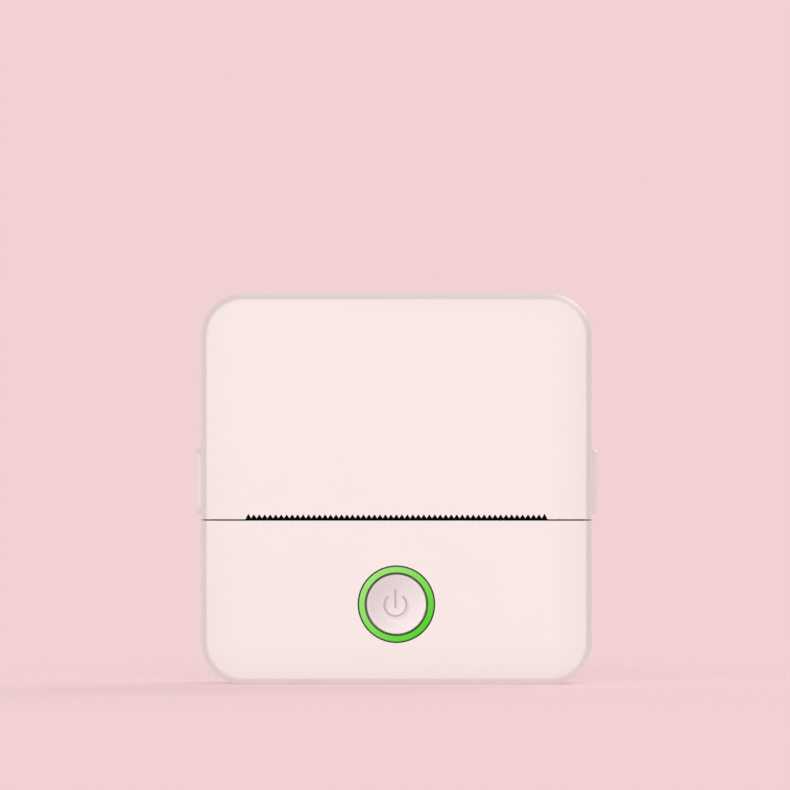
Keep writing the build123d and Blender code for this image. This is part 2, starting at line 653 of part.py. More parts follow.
def tact_switch():
    """The switch housing on the board, with a bore for its plunger."""
    half = SWITCH_W / 2
    body = block(-half, half, SWITCH_FRONT_Y, BOARD_FRONT_Y, BUTTON_Z - half, BUTTON_Z + half)
    return body - rod_y(PLUNGER_R + FIT, SWITCH_FRONT_Y - 1, BOARD_FRONT_Y - 1.2, 0, BUTTON_Z)


def switch_plunger():
    """The switch's plunger, which the cap pushes in."""
    end = BOARD_FRONT_Y - 1.2 - BUTTON_TRAVEL - FIT
    return rod_y(PLUNGER_R, SWITCH_FRONT_Y - BUTTON_TRAVEL, end, 0, BUTTON_Z)


def main_board():
    """The circuit board, with a tongue that carries the charging socket to the side wall."""
    board = block(-BOARD_HALF_W, BOARD_HALF_W, BOARD_FRONT_Y, BOARD_BACK_Y, BOARD_LOW_Z, BOARD_TOP_Z)
    tongue_end = SIDE_IN_X - FIT - LIP_T - 0.4
    board += block(0, tongue_end, BOARD_FRONT_Y, BOARD_BACK_Y, USB_Z - USB_W / 2 - 0.4, USB_Z + USB_W / 2 + 0.4)
    for x, z in BOARD_SCREWS:
        board -= rod_y(SMALL_SCREW_R + 0.15, BOARD_FRONT_Y - 1, BOARD_BACK_Y + 1, x, z)
    return board


BOARD_SCREWS = [(s * BOARD_SCREW_X, z) for s in (-1, 1) for z in (BOARD_SCREW_LOW_Z, BOARD_SCREW_TOP_Z)]


def board_screws():
    """Four screws that hold the board to the frame's bulkhead."""
    return solids(*[small_screw(x, z, BOARD_FRONT_Y, 5.4, 1) for x, z in BOARD_SCREWS])


def control_module():
    """The radio and control module under its metal lid, on the back of the board."""
    lid = block(-16, 4, BOARD_BACK_Y, BOARD_BACK_Y + 2.3, 5.0, 18.0)
    return fillet(lid.edges().filter_by(Axis.Y), 0.6)


def usb_socket():
    """The charging socket: a metal shell open to the side, with a tongue inside."""
    mouth = SIDE_X - 0.3
    centre = (BOARD_BACK_Y + USB_H / 2, USB_Z)
    shell = side_plate(Pos(*centre) * SlotOverall(USB_W, USB_H, rotation=90), mouth - USB_L, mouth)
    room = SlotOverall(USB_W - 0.6, USB_H - 0.6, rotation=90)
    shell -= side_plate(Pos(*centre) * room, mouth - USB_L + 1, mouth + 1)
    tongue = block(mouth - USB_L + 0.5, mouth - 0.7, centre[0] - 0.35, centre[0] + 0.35, USB_Z - 3.3, USB_Z + 3.3)
    return shell + tongue


def board_parts():
    """The larger loose parts on the board's back: two coils, two capacitors and a driver chip."""
    y = BOARD_BACK_Y
    coils = [block(9 + n * 6.5, 14 + n * 6.5, y, y + 2.6, 4.5, 9.5) for n in range(2)]
    cans = [rod_y(2.1, y, y + 4.2, 11.5 + n * 5.5, 13.4) for n in range(2)]
    chip = block(-26, -19.5, y, y + 1.1, 9.0, 15.5)
    return solids(*coils, *cans, chip)


HEAD_CABLE_HALF = 10.0
CABLE_T = 0.3
SOCKET_LOW_Z = BOARD_TOP_Z - 3.4


def head_connector():
    """The flat-cable socket for the head, on the back of the board."""
    return block(-11.5, 11.5, BOARD_BACK_Y, BOARD_BACK_Y + 1.9, SOCKET_LOW_Z, SOCKET_LOW_Z + 2.6)


def head_cable():
    """The head's flat cable: off the heat sink's back, down behind the bulkhead and through its slot."""
    socket_z = SOCKET_LOW_Z + 1.3
    hang_y = BULKHEAD_BACK_Y + 1.6
    start_z = SINK_TOP_Z - 0.9
    first, last = SINK_BACK_Y + CABLE_T, BOARD_BACK_Y + 1.9 + CABLE_T
    path = FilletPolyline((first, start_z), (hang_y, start_z), (hang_y, socket_z), (last, socket_z), radius=1.4)
    ribbon = offset(path, CABLE_T / 2, side=Side.BOTH)
    return side_plate(make_face(ribbon), -HEAD_CABLE_HALF, HEAD_CABLE_HALF)


WIRE_R = 0.55
PLUG_Z = BOARD_TOP_Z - 6.6
PLUG_D = 3.2
PLUG_H = 3.2
BATTERY_PLUG_X = (-24.6, -19.0)
MOTOR_PLUG_X = (14.4, 21.6)


def plug_block(span):
    """A wire-to-board connector on the back of the board, over a span of X."""
    return block(span[0], span[1], BOARD_BACK_Y, BOARD_BACK_Y + PLUG_D, PLUG_Z - PLUG_H / 2, PLUG_Z + PLUG_H / 2)


def wire(points, radius):
    """A round wire along runs joined by tangent arcs."""
    path = FilletPolyline(*points, radius=radius)
    start = Plane(origin=path @ 0, z_dir=path % 0)
    return sweep(start * Circle(WIRE_R), path=path)


def battery_leads():
    """Two wires from the battery's top, through the bulkhead, to their connector."""
    top = BATTERY_LOW_Z + BATTERY_H
    battery_y = BACK_IN_Y - TAPE_T - BATTERY_T / 2 - FIT
    made = []
    for x in (BATTERY_PLUG_X[0] + 1.7, BATTERY_PLUG_X[1] - 1.7):
        points = [
            (x, battery_y, top + FIT),
            (x, battery_y, top + 3.4),
            (x, BULKHEAD_BACK_Y + 4.5, top + 3.4),
            (x, BULKHEAD_BACK_Y + 2.5, PLUG_Z),
            (x, BOARD_BACK_Y + PLUG_D, PLUG_Z),
        ]
        made.append(wire(points, 1.8))
    return solids(*made)


def motor_leads():
    """Four wires from the motor's back cover, through the bulkhead, to their connector."""
    made = []
    for n in range(4):
        x = MOTOR_PLUG_X[0] + 1.35 + n * 1.5
        points = [
            (x, MOTOR_AT[0] - MOTOR_R - FIT, MOTOR_AT[1] - 1.5),
            (x, BULKHEAD_BACK_Y + 2.2, MOTOR_AT[1] - 1.5),
            (x, BULKHEAD_BACK_Y + 2.2, PLUG_Z),
            (x, BOARD_BACK_Y + PLUG_D, PLUG_Z),
        ]
        made.append(wire(points, 1.1))
    return solids(*made)


def battery_cell():
    """The lithium pouch cell, its long edges rounded."""
    back = BACK_IN_Y - TAPE_T - FIT
    cell = block(-BATTERY_W / 2, BATTERY_W / 2, back - BATTERY_T, back, BATTERY_LOW_Z, BATTERY_LOW_Z + BATTERY_H)
    return fillet(cell.edges().filter_by(Axis.X), 2.2)


def battery_tape():
    """Adhesive tape that holds the battery to the back wall."""
    half = BATTERY_W / 2 - 7
    back = BACK_IN_Y - FIT / 2
    return block(-half, half, back - TAPE_T, back, BATTERY_LOW_Z + 3, BATTERY_LOW_Z + BATTERY_H - 3)


def bearing(start, end):
    """The angle in degrees of the line from one point of the Y-Z plane to another."""
    return degrees(atan2(end[1] - start[1], end[0] - start[0]))


def reach_point(first, first_reach, second, second_reach):
    """The lower point that lies at one distance from a first point and at another from a second."""
    apart = hypot(second[0] - first[0], second[1] - first[1])
    along = (first_reach**2 - second_reach**2 + apart**2) / (2 * apart)
    drop = degrees(acos(along / first_reach))
    return polar(first, first_reach, bearing(first, second) - drop)


# Gear train: the idler lies straight behind the platen on the line along which the cover lifts it away
PLATEN_AT = (PLATEN_Y, PLATEN_Z)
LIFT_ANGLE = degrees(atan2(HINGE_Y - PLATEN_Y, PLATEN_Z - HINGE_Z))
IDLER_AT = polar(PLATEN_AT, MODULE * (PLATEN_TEETH + IDLER_TEETH) / 2, LIFT_ANGLE + 180)
MOTOR_AT = (BACK_IN_Y - MOTOR_R - 0.8, BATTERY_LOW_Z + BATTERY_H + 0.75 + MOTOR_R)
REDUCTION_AT = reach_point(
    IDLER_AT, MODULE * (IDLER_TEETH + SMALL_TEETH) / 2, MOTOR_AT, MODULE * (LARGE_TEETH + PINION_TEETH) / 2
)
REDUCTION_ANGLE = bearing(IDLER_AT, REDUCTION_AT)
MOTOR_ANGLE = bearing(REDUCTION_AT, MOTOR_AT)
MOTOR_SCREWS = [polar(MOTOR_AT, MOTOR_SCREW_REACH, MOTOR_EAR_ANGLE + turn) for turn in (0, 180)]


def tip_radius(teeth):
    """Outside radius of a gear."""
    return MODULE * (teeth / 2 + ADDENDUM)


def mesh_turn(first_turn, first_teeth, line_angle, second_teeth):
    """How far the second gear is turned so that its gap meets the first gear's tooth on the line of centres."""
    return line_angle + 180 + 180 / second_teeth + (line_angle - first_turn) * first_teeth / second_teeth


def gear_outline(teeth, turn):
    """Involute gear outline in the Y-Z plane, with a tooth centred on the angle turn."""
    pitch_r = MODULE * teeth / 2
    base_r = pitch_r * cos(radians(PRESSURE_ANGLE))
    root_r = pitch_r - DEDENDUM * MODULE
    tip_r = tip_radius(teeth)
    low_r = max(base_r, root_r)
    half_tooth = degrees(pi / (2 * teeth) - BACKLASH / (4 * pitch_r))

    def spread(radius):
        slope = acos(min(1.0, base_r / radius))
        return degrees(tan(slope) - slope)

    def flank(radius):
        return half_tooth + spread(pitch_r) - spread(radius)

    origin = (0, 0)
    middle_r = (low_r + tip_r) / 2
    edges = []
    for n in range(teeth):
        centre = turn + n * 360 / teeth
        following = centre + 360 / teeth
        low, middle, tip = flank(low_r), flank(middle_r), flank(tip_r)
        rise = [polar(origin, r, centre - a) for r, a in ((low_r, low), (middle_r, middle), (tip_r, tip))]
        fall = [polar(origin, r, centre + a) for r, a in ((tip_r, tip), (middle_r, middle), (low_r, low))]
        edges.append(ThreePointArc(*rise))
        edges.append(ThreePointArc(rise[-1], polar(origin, tip_r, centre), fall[0]))
        edges.append(ThreePointArc(*fall))
        next_start = polar(origin, low_r, following - low)
        if root_r < low_r:
            root_a = polar(origin, root_r, centre + low)
            root_b = polar(origin, root_r, following - low)
            edges.append(Line(fall[-1], root_a))
            edges.append(ThreePointArc(root_a, polar(origin, root_r, (centre + following) / 2), root_b))
            edges.append(Line(root_b, next_start))
        else:
            edges.append(ThreePointArc(fall[-1], polar(origin, root_r, (centre + following) / 2), next_start))
    return make_face(edges)


def gear(at, teeth, turn, x0, x1):
    """A spur gear at a point of the Y-Z plane, from x0 to x1."""
    return side_plate(Pos(*at) * gear_outline(teeth, turn), x0, x1)


PLATEN_TURN = 0.0
IDLER_TURN = mesh_turn(PLATEN_TURN, PLATEN_TEETH, LIFT_ANGLE + 180, IDLER_TEETH)
SMALL_TURN = mesh_turn(IDLER_TURN, IDLER_TEETH, REDUCTION_ANGLE, SMALL_TEETH)
LARGE_TURN = SMALL_TURN
PINION_TURN = mesh_turn(LARGE_TURN, LARGE_TEETH, MOTOR_ANGLE, PINION_TEETH)


def platen_rubber():
    """The rubber sleeve of the platen roller."""
    sleeve = rod_x(PLATEN_R, -PLATEN_END_X, PLATEN_END_X, *PLATEN_AT)
    return sleeve - rod_x(PLATEN_CORE_R + THREAD_FIT, -PLATEN_END_X - 1, PLATEN_END_X + 1, *PLATEN_AT)


def platen_shaft():
    """The platen's steel shaft: a thick core inside the rubber and a journal at each end."""
    shaft = rod_x(PLATEN_CORE_R, -PLATEN_END_X - 0.1, PLATEN_END_X + 0.1, *PLATEN_AT)
    return shaft + rod_x(SHAFT_R, -EAR_OUT_X - 0.6, OUTER_GEAR_END_X + 0.2, *PLATEN_AT)


def platen_bushing(side):
    """One bearing bush of the platen, pressed into the cover's ear."""
    inner, outer = side * (EAR_IN_X - 0.15), side * EAR_OUT_X
    bush = rod_x(BUSH_R, inner, outer, *PLATEN_AT)
    return bush - rod_x(SHAFT_R + SHAFT_RUN, inner - side, outer + side, *PLATEN_AT)


def platen_gear():
    """The gear on the platen's shaft, with a hub that keeps it clear of the ear."""
    wheel = gear(PLATEN_AT, PLATEN_TEETH, PLATEN_TURN, OUTER_GEAR_X, OUTER_GEAR_END_X)
    wheel += rod_x(SHAFT_R + 0.9, INNER_GEAR_X - 0.1, OUTER_GEAR_X + 0.5, *PLATEN_AT)
    return wheel - rod_x(SHAFT_R + THREAD_FIT, INNER_GEAR_X - 1, OUTER_GEAR_END_X + 1, *PLATEN_AT)


def idler_gear():
    """The idler between the reduction gear and the platen gear."""
    wheel = gear(IDLER_AT, IDLER_TEETH, IDLER_TURN, OUTER_GEAR_X, OUTER_GEAR_END_X)
    ring = sector(IDLER_AT, 2.6, tip_radius(IDLER_TEETH) - 1.9, 0, 359.9)
    wheel -= side_plate(ring, OUTER_GEAR_END_X - 0.6, OUTER_GEAR_END_X + 1)
    return wheel - rod_x(GEAR_PIN_R + SHAFT_RUN, OUTER_GEAR_X - 1, OUTER_GEAR_END_X + 1, *IDLER_AT)


def reduction_gear():
    """The double gear: a large wheel on the pinion's layer and a small one on the idler's."""
    wheel = gear(REDUCTION_AT, LARGE_TEETH, LARGE_TURN, INNER_GEAR_X, INNER_GEAR_X + INNER_GEAR_W)
    wheel += gear(REDUCTION_AT, SMALL_TEETH, SMALL_TURN, INNER_GEAR_X + 1, OUTER_GEAR_END_X)
    return wheel - rod_x(GEAR_PIN_R + SHAFT_RUN, INNER_GEAR_X - 1, OUTER_GEAR_END_X + 1, *REDUCTION_AT)


def motor_pinion():
    """The brass pinion on the motor's shaft."""
    wheel = gear(MOTOR_AT, PINION_TEETH, PINION_TURN, INNER_GEAR_X, INNER_GEAR_X + INNER_GEAR_W)
    return wheel - rod_x(MOTOR_SHAFT_R + THREAD_FIT, INNER_GEAR_X - 1, OUTER_GEAR_X + 1, *MOTOR_AT)


def motor_shaft():
    """The motor's shaft, from inside the can to the end of the pinion."""
    return rod_x(MOTOR_SHAFT_R, CHEEK_IN_X - MOTOR_FLANGE_T - 2, INNER_GEAR_X + INNER_GEAR_W + 0.3, *MOTOR_AT)


def motor_can():
    """The stepper motor's can, with a boss round its shaft and a bore for it."""
    front = CHEEK_IN_X - MOTOR_FLANGE_T - FIT / 5
    can = rod_x(MOTOR_R, front - MOTOR_L, front, *MOTOR_AT)
    can = fillet(can.faces().sort_by(Axis.X)[0].edges(), 0.8)
    return can - rod_x(MOTOR_SHAFT_R + SHAFT_RUN, front - 2.5, front + 1, *MOTOR_AT)


def motor_flange():
    """The motor's mounting plate, with an ear above and below."""
    front = CHEEK_IN_X - FIT / 5
    plate = Pos(*MOTOR_AT) * Circle(MOTOR_R)
    ears = Pos(*MOTOR_AT) * SlotCenterToCenter(2 * MOTOR_SCREW_REACH, 4.0, rotation=MOTOR_EAR_ANGLE)
    made = side_plate(plate + ears, front - MOTOR_FLANGE_T, front)
    made -= rod_x(MOTOR_SHAFT_R + 0.6, front - 3, front + 1, *MOTOR_AT)
    for spot in MOTOR_SCREWS:
        made -= rod_x(SMALL_SCREW_R + THREAD_FIT, front - 3, front + 1, *spot)
    return made


def motor_screws():
    """Two screws through the frame's cheek into the motor's plate."""
    made = []
    for spot in MOTOR_SCREWS:
        head = rod_x(SMALL_HEAD_R, CHEEK_OUT_X, CHEEK_OUT_X + SMALL_HEAD_H, *spot)
        head = fillet(head.faces().sort_by(Axis.X)[-1].edges(), SMALL_HEAD_H * 0.4)
        made.append(head + rod_x(SMALL_SCREW_R, CHEEK_IN_X - 1.6, CHEEK_OUT_X + 0.1, *spot))
    return solids(*made)


def gear_pins():
    """Two steel pins in the frame: a shouldered one for the idler, a plain one for the reduction gear."""
    end = OUTER_GEAR_END_X + 0.75
    idler = rod_x(GEAR_PIN_R, CHEEK_IN_X + 0.2, end, *IDLER_AT)
    idler += rod_x(SHOULDER_R, CHEEK_OUT_X + 0.05, OUTER_GEAR_X - 0.15, *IDLER_AT)
    reduction = rod_x(GEAR_PIN_R, CHEEK_IN_X + 0.2, end, *REDUCTION_AT)
    return solids(idler, reduction)


def gear_clips():
    """Two spring clips that keep the gears on their pins."""
    start = OUTER_GEAR_END_X + 0.12
    made = []
    for at in (IDLER_AT, REDUCTION_AT):
        clip = sector(at, GEAR_PIN_R + THREAD_FIT, GEAR_PIN_R + 0.9, 30, 330)
        made.append(side_plate(clip, start, start + 0.4))
    return solids(*made)


def tray_outline():
    """Side view of the paper tray: the roll's cradle, the chute and the guide behind the platen."""
    roll, platen = (ROLL_Y, ROLL_Z), PLATEN_AT
    cradle = sector(roll, TRAY_R, TRAY_R + TRAY_T, TRAY_FRONT_ANGLE, TRAY_BACK_ANGLE)
    guide = sector(platen, GUIDE_R, GUIDE_R + TRAY_T, GUIDE_LOW_ANGLE, GUIDE_TOP_ANGLE)
    chute = make_face(
        Polyline(
            polar(roll, TRAY_R + TRAY_T - 0.05, TRAY_FRONT_ANGLE),
            polar(platen, GUIDE_R + 0.05, GUIDE_TOP_ANGLE - 1),
            polar(platen, GUIDE_R + TRAY_T - 0.05, GUIDE_TOP_ANGLE - 1),
            polar(roll, TRAY_R + TRAY_T / 2, TRAY_FRONT_ANGLE + 9),
            polar(roll, TRAY_R + TRAY_T / 2, TRAY_FRONT_ANGLE + 0.5),
            close=True,
        )
    )
    return cradle + guide + chute


def paper_tray():
    """The curved tray that the roll lies in, between the frame's cheeks."""
    end = CHEEK_IN_X - FIT
    tray = side_plate(tray_outline(), -end, end)
    return tray - block(-SENSOR_W / 2 - FIT, SENSOR_W / 2 + FIT, -BODY_D, SENSOR_Y + 6, SENSOR_Z - 1.8, SENSOR_Z + 1.8)


SENSOR_W = 4.2
SENSOR_Y = PLATEN_Y + 3.2
SENSOR_Z = PLATEN_Z + 6.6


def paper_sensor():
    """The optical paper sensor, in a window of the chute."""
    return block(-SENSOR_W / 2, SENSOR_W / 2, SENSOR_Y, SENSOR_Y + 1.8, SENSOR_Z - 1.7, SENSOR_Z + 1.7)


def cheek_outline():
    """Side view of a cheek of the frame, cut away round the platen."""
    front = ROLL_Y - TRAY_R - FIT
    back = BACK_IN_Y - 0.6
    top = STRIP_Z - COVER_GAP / 2 - 0.5
    low = SHELF_LOW_Z - 6.8
    plate = make_face(
        Polyline(
            (front, top),
            (back, top),
            (back, low),
            (BULKHEAD_FRONT_Y, low),
            (BULKHEAD_FRONT_Y, SHELF_LOW_Z),
            (HEAD_FRONT_Y - 0.5, SHELF_LOW_Z),
            (HEAD_FRONT_Y - 0.5, SINK_TOP_Z - 0.6),
            (PLATEN_Y + 4.0, SINK_TOP_Z - 0.6),
            (PLATEN_Y + 7.0, PLATEN_Z + 4.0),
            (front, PLATEN_Z + 10.5),
            close=True,
        )
    )
    return plate - Pos(*PLATEN_AT) * Circle(EAR_R + 2.2)


def mech_frame():
    """The mechanism frame: two cheeks, the head's shelf, the bulkhead and its bosses."""
    frame = both_sides(side_plate(cheek_outline(), CHEEK_IN_X, CHEEK_OUT_X))
    frame += block(-CHEEK_IN_X - 0.5, CHEEK_IN_X + 0.5, HEAD_FRONT_Y - 0.5, BULKHEAD_BACK_Y, SHELF_LOW_Z, SHELF_TOP_Z)
    frame += block(-CHEEK_OUT_X, CHEEK_OUT_X, BULKHEAD_FRONT_Y, BULKHEAD_BACK_Y, BULKHEAD_LOW_Z, SHELF_LOW_Z + 0.5)
    tab_x = CASE_SCREW_X + CASE_POST_R
    tab_low, tab_top = CASE_SCREW_LOW_Z - CASE_POST_R, CASE_SCREW_LOW_Z + CASE_POST_R
    frame += block(-tab_x, tab_x, BULKHEAD_FRONT_Y + FIT / 2, BULKHEAD_BACK_Y - FIT / 2, tab_low, tab_top)
    boss_back = FRAME_BOSS_Y - FIT / 2
    boss = rod_y(CASE_POST_R - 0.2, FRAME_BOSS_Y - 6, boss_back, CASE_SCREW_X, CASE_SCREW_TOP_Z)
    boss += block(CHEEK_OUT_X - 0.5, CASE_SCREW_X, FRAME_BOSS_Y - 6, boss_back, CASE_SCREW_TOP_Z - 1, CASE_SCREW_TOP_Z + 1)
    frame += both_sides(boss)
    seat = rod_x(1.3, CHEEK_OUT_X - 0.2, CHEEK_OUT_X + 2.2, RELEASE_Y, RELEASE_Z)
    frame += both_sides(seat)
    for x, z in BOARD_SCREWS:
        frame += rod_y(2.1, BOARD_BACK_Y + FIT / 5, BULKHEAD_FRONT_Y + 0.3, x, z)
        frame -= rod_y(SMALL_SCREW_R + THREAD_FIT, BOARD_BACK_Y - 1, BULKHEAD_BACK_Y + 1, x, z)
    for s in (-1, 1):
        frame += rod_z(1.4, SHELF_TOP_Z - 0.2, SHELF_TOP_Z + 1.2, s * HEAD_SPRING_X, PLATEN_Y)
    return frame - frame_holes()


def frame_holes():
    """Everything that is cut from the frame: screw, pin and trunnion holes and the cable slots."""
    cut = both_sides(rod_x(TRUNNION_R + SHAFT_RUN, CHEEK_IN_X - 1, CHEEK_OUT_X + 1, TRUNNION_Y, TRUNNION_Z))
    cut += both_sides(rod_y(CASE_SCREW_R + 0.2, BULKHEAD_FRONT_Y - 1, BULKHEAD_BACK_Y + 1, CASE_SCREW_X, CASE_SCREW_LOW_Z))
    cut += both_sides(
        rod_y(CASE_SCREW_R + THREAD_FIT, FRAME_BOSS_Y - 5.5, FRAME_BOSS_Y + 1, CASE_SCREW_X, CASE_SCREW_TOP_Z)
    )
    for at in (IDLER_AT, REDUCTION_AT):
        cut += rod_x(GEAR_PIN_R + THREAD_FIT, CHEEK_IN_X - 1, CHEEK_OUT_X + 1, *at)
    cut += rod_x(2.4, CHEEK_IN_X - 1, CHEEK_OUT_X + 1, *MOTOR_AT)
    for spot in MOTOR_SCREWS:
        cut += rod_x(SMALL_SCREW_R + FIT, CHEEK_IN_X - 1, CHEEK_OUT_X + 1, *spot)
    slot_low = SOCKET_LOW_Z - 0.2
    for x0, x1, z0, z1 in (
        (-HEAD_CABLE_HALF - 0.6, HEAD_CABLE_HALF + 0.6, slot_low, slot_low + 2.8),
        (*BATTERY_PLUG_X, PLUG_Z - PLUG_H / 2, PLUG_Z + PLUG_H / 2 + 0.2),
        (*MOTOR_PLUG_X, PLUG_Z - PLUG_H / 2, PLUG_Z + PLUG_H / 2 + 0.2),
    ):
        cut += block(x0, x1, BULKHEAD_FRONT_Y - 1, BULKHEAD_BACK_Y + 1, z0, z1)
    return cut


def head_heat_sink():
    """The head's aluminium plate, with a trunnion at each end and two spring seats below."""
    sink = block(-HEAD_END_X, HEAD_END_X, HEAD_FRONT_Y, SINK_BACK_Y, SINK_LOW_Z, SINK_TOP_Z)
    reach = CHEEK_OUT_X - 0.5
    return sink + rod_x(TRUNNION_R, -reach, reach, TRUNNION_Y, TRUNNION_Z)


def head_substrate():
    """The ceramic plate with the heater line, on the heat sink."""
    low = SINK_TOP_Z + THREAD_FIT / 2
    return block(-HEAD_END_X, HEAD_END_X, HEAD_FRONT_Y, HEAD_FRONT_Y + SUBSTRATE_D, low, HEAD_TOP_Z)


def head_driver_cover():
    """The dark resin bead over the head's driver chips."""
    back = HEAD_FRONT_Y + SUBSTRATE_D - 0.5
    low = HEAD_TOP_Z + THREAD_FIT / 2
    bead = block(-HEAD_END_X + 3, HEAD_END_X - 3, back - 1.6, back, low, low + 0.5)
    return fillet(bead.faces().sort_by(Axis.Z)[-1].edges(), 0.2)


def coil(radius, wire_r, length, turns):
    """A compression spring along +Z from the origin: one tube on quarter-turn biarcs."""
    rise = length - 2 * wire_r
    steps = int(turns * 4)

    def at(t):
        return Vector(radius * cos(2 * pi * t), radius * sin(2 * pi * t), wire_r + rise * t / turns)

    def heading(t):
        way = Vector(-radius * 2 * pi * sin(2 * pi * t), radius * 2 * pi * cos(2 * pi * t), rise / turns)
        return way.normalized()

    arcs = []
    for n in range(steps):
        t0, t1 = n * turns / steps, (n + 1) * turns / steps
        p0, p1, d0, d1 = at(t0), at(t1), heading(t0), heading(t1)
        span = p1 - p0
        both = d0 + d1
        a = 2 * (1 - d0.dot(d1))
        b = span.dot(both)
        reach = (-b + sqrt(b * b + a * span.dot(span))) / a
        join = (p0 + d0 * reach + p1 - d1 * reach) / 2
        arcs.append(TangentArc(p0, join, tangent=d0))
        arcs.append(TangentArc(join, p1, tangent=arcs[-1] % 1))
    path = Wire(arcs)
    start = Plane(origin=at(0), z_dir=heading(0))
    gap = rise / turns - 2 * wire_r
    return sweep(start * Circle(wire_r), path=path), gap


def head_springs():
    """Two springs that press the head against the platen."""
    spring, gap = coil(2.0, 0.2, HEAD_SPRING_H - 2 * FIT, 4)
    print("head spring, gap between turns", round(gap, 2))
    return solids(*[Pos(s * HEAD_SPRING_X, PLATEN_Y, SHELF_TOP_Z + FIT) * spring for s in (-1, 1)])


RELEASE_IN_X = SIDE_IN_X - FIT - RELEASE_FLANGE_T


def release_spring(side):
    """The spring behind a release button."""
    spring, gap = coil(1.9, 0.2, RELEASE_IN_X - CHEEK_OUT_X - 2 * FIT, 6)
    print("release spring, gap between turns", round(gap, 2))
    turned = Pos(CHEEK_OUT_X + FIT, RELEASE_Y, RELEASE_Z) * Rot(0, 90, 0) * spring
    return turned if side > 0 else mirror(turned, Plane.YZ)


def release_button(side):
    """A release button: cap in the side wall, flange behind it, spring post and latch arm."""
    cap = release_opening(0, RELEASE_IN_X, SIDE_X + RELEASE_PROUD)
    cap = fillet(cap.faces().sort_by(Axis.X)[-1].edges(), RELEASE_EDGE_R)
    for n in (-1, 0, 1):
        z = RELEASE_Z + n * GRIP_PITCH
        cap -= rod_y(GRIP_R, RELEASE_Y - 2.4, RELEASE_Y + 2.4, SIDE_X + RELEASE_PROUD + GRIP_R * 0.3, z)
    cap += release_opening(-RELEASE_RIM, RELEASE_IN_X, RELEASE_IN_X + RELEASE_FLANGE_T)
    cap += rod_x(1.3, RELEASE_IN_X - 2.4, RELEASE_IN_X + 0.2, RELEASE_Y, RELEASE_Z)
    arm_top = RELEASE_Z + RELEASE_H / 2 + 0.3
    arm_low = arm_top - ARM_H
    root_y = RELEASE_Y - RELEASE_D / 2 - RELEASE_RIM
    nose_front = LUG_BACK_Y - 3.2
    cap += block(ARM_OUT_X - ARM_T, RELEASE_IN_X + 0.2, root_y, root_y + 2.6, arm_low, arm_top)
    cap += block(ARM_OUT_X - ARM_T, ARM_OUT_X, nose_front, root_y + 2.6, arm_low, arm_top)
    cap += block(ARM_OUT_X - ARM_T, ARM_OUT_X + LATCH_NOSE, nose_front, nose_front + 1.3, arm_low, arm_top)
    return cap if side > 0 else mirror(cap, Plane.YZ)


def build_nodes():
    """Every node of the printer by name."""
    shell = casing_shell()
    return {
        "rear_shell": rear_shell(shell),
        "front_panel": front_panel(shell),
        "top_cover": top_cover(shell),
        "cover_liner": cover_liner(),
        "tear_strip": tear_strip(),
        "liner_screws": liner_screws(),
        "hinge_pins": hinge_pins(),
        "case_screws": case_screws(),
        "mech_frame": mech_frame(),
        "paper_tray": paper_tray(),
        "paper_sensor": paper_sensor(),
        "platen_rubber": platen_rubber(),
        "platen_shaft": platen_shaft(),
        "platen_bushing_left": platen_bushing(-1),
        "platen_bushing_right": platen_bushing(1),
        "platen_gear": platen_gear(),
        "idler_gear": idler_gear(),
        "reduction_gear": reduction_gear(),
        "gear_pins": gear_pins(),
        "gear_clips": gear_clips(),
        "motor_pinion": motor_pinion(),
        "motor_shaft": motor_shaft(),
        "motor_can": motor_can(),
        "motor_flange": motor_flange(),
        "motor_screws": motor_screws(),
        "motor_leads": motor_leads(),
        "head_heat_sink": head_heat_sink(),
        "head_substrate": head_substrate(),
        "head_driver_cover": head_driver_cover(),
        "head_springs": head_springs(),
        "head_cable": head_cable(),
        "main_board": main_board(),
        "board_screws": board_screws(),
        "board_parts": board_parts(),
        "control_module": control_module(),
        "usb_socket": usb_socket(),
        "head_connector": head_connector(),
        "battery_connector": plug_block(BATTERY_PLUG_X),
        "motor_connector": plug_block(MOTOR_PLUG_X),
        "battery_cell": battery_cell(),
        "battery_tape": battery_tape(),
        "battery_leads": battery_leads(),
        "light_ring": light_ring(),
        "status_leds": status_leds(),
        "power_button": power_button(),
        "tact_switch": tact_switch(),
        "switch_plunger": switch_plunger(),
        "release_button_left": release_button(-1),
        "release_button_right": release_button(1),
        "release_spring_left": release_spring(-1),
        "release_spring_right": release_spring(1),
    }


os.makedirs("parts", exist_ok=True)
for node, shape in build_nodes().items():
    export_step(shape, f"parts/{node}.step")
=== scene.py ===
# %% [markdown]
# # A portable thermal printer for narrow paper
#
# The real thing is a square plastic box of about 82 mm that stands on one edge. It prints on a 57 mm roll
# by pressing the paper between a heated ceramic line and a rubber roller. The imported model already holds
# every solid at its true size, and this script gives it surfaces, light and the small repeated parts.

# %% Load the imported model
import math
import random

import bmesh
import bpy
from mathutils import Matrix, Vector


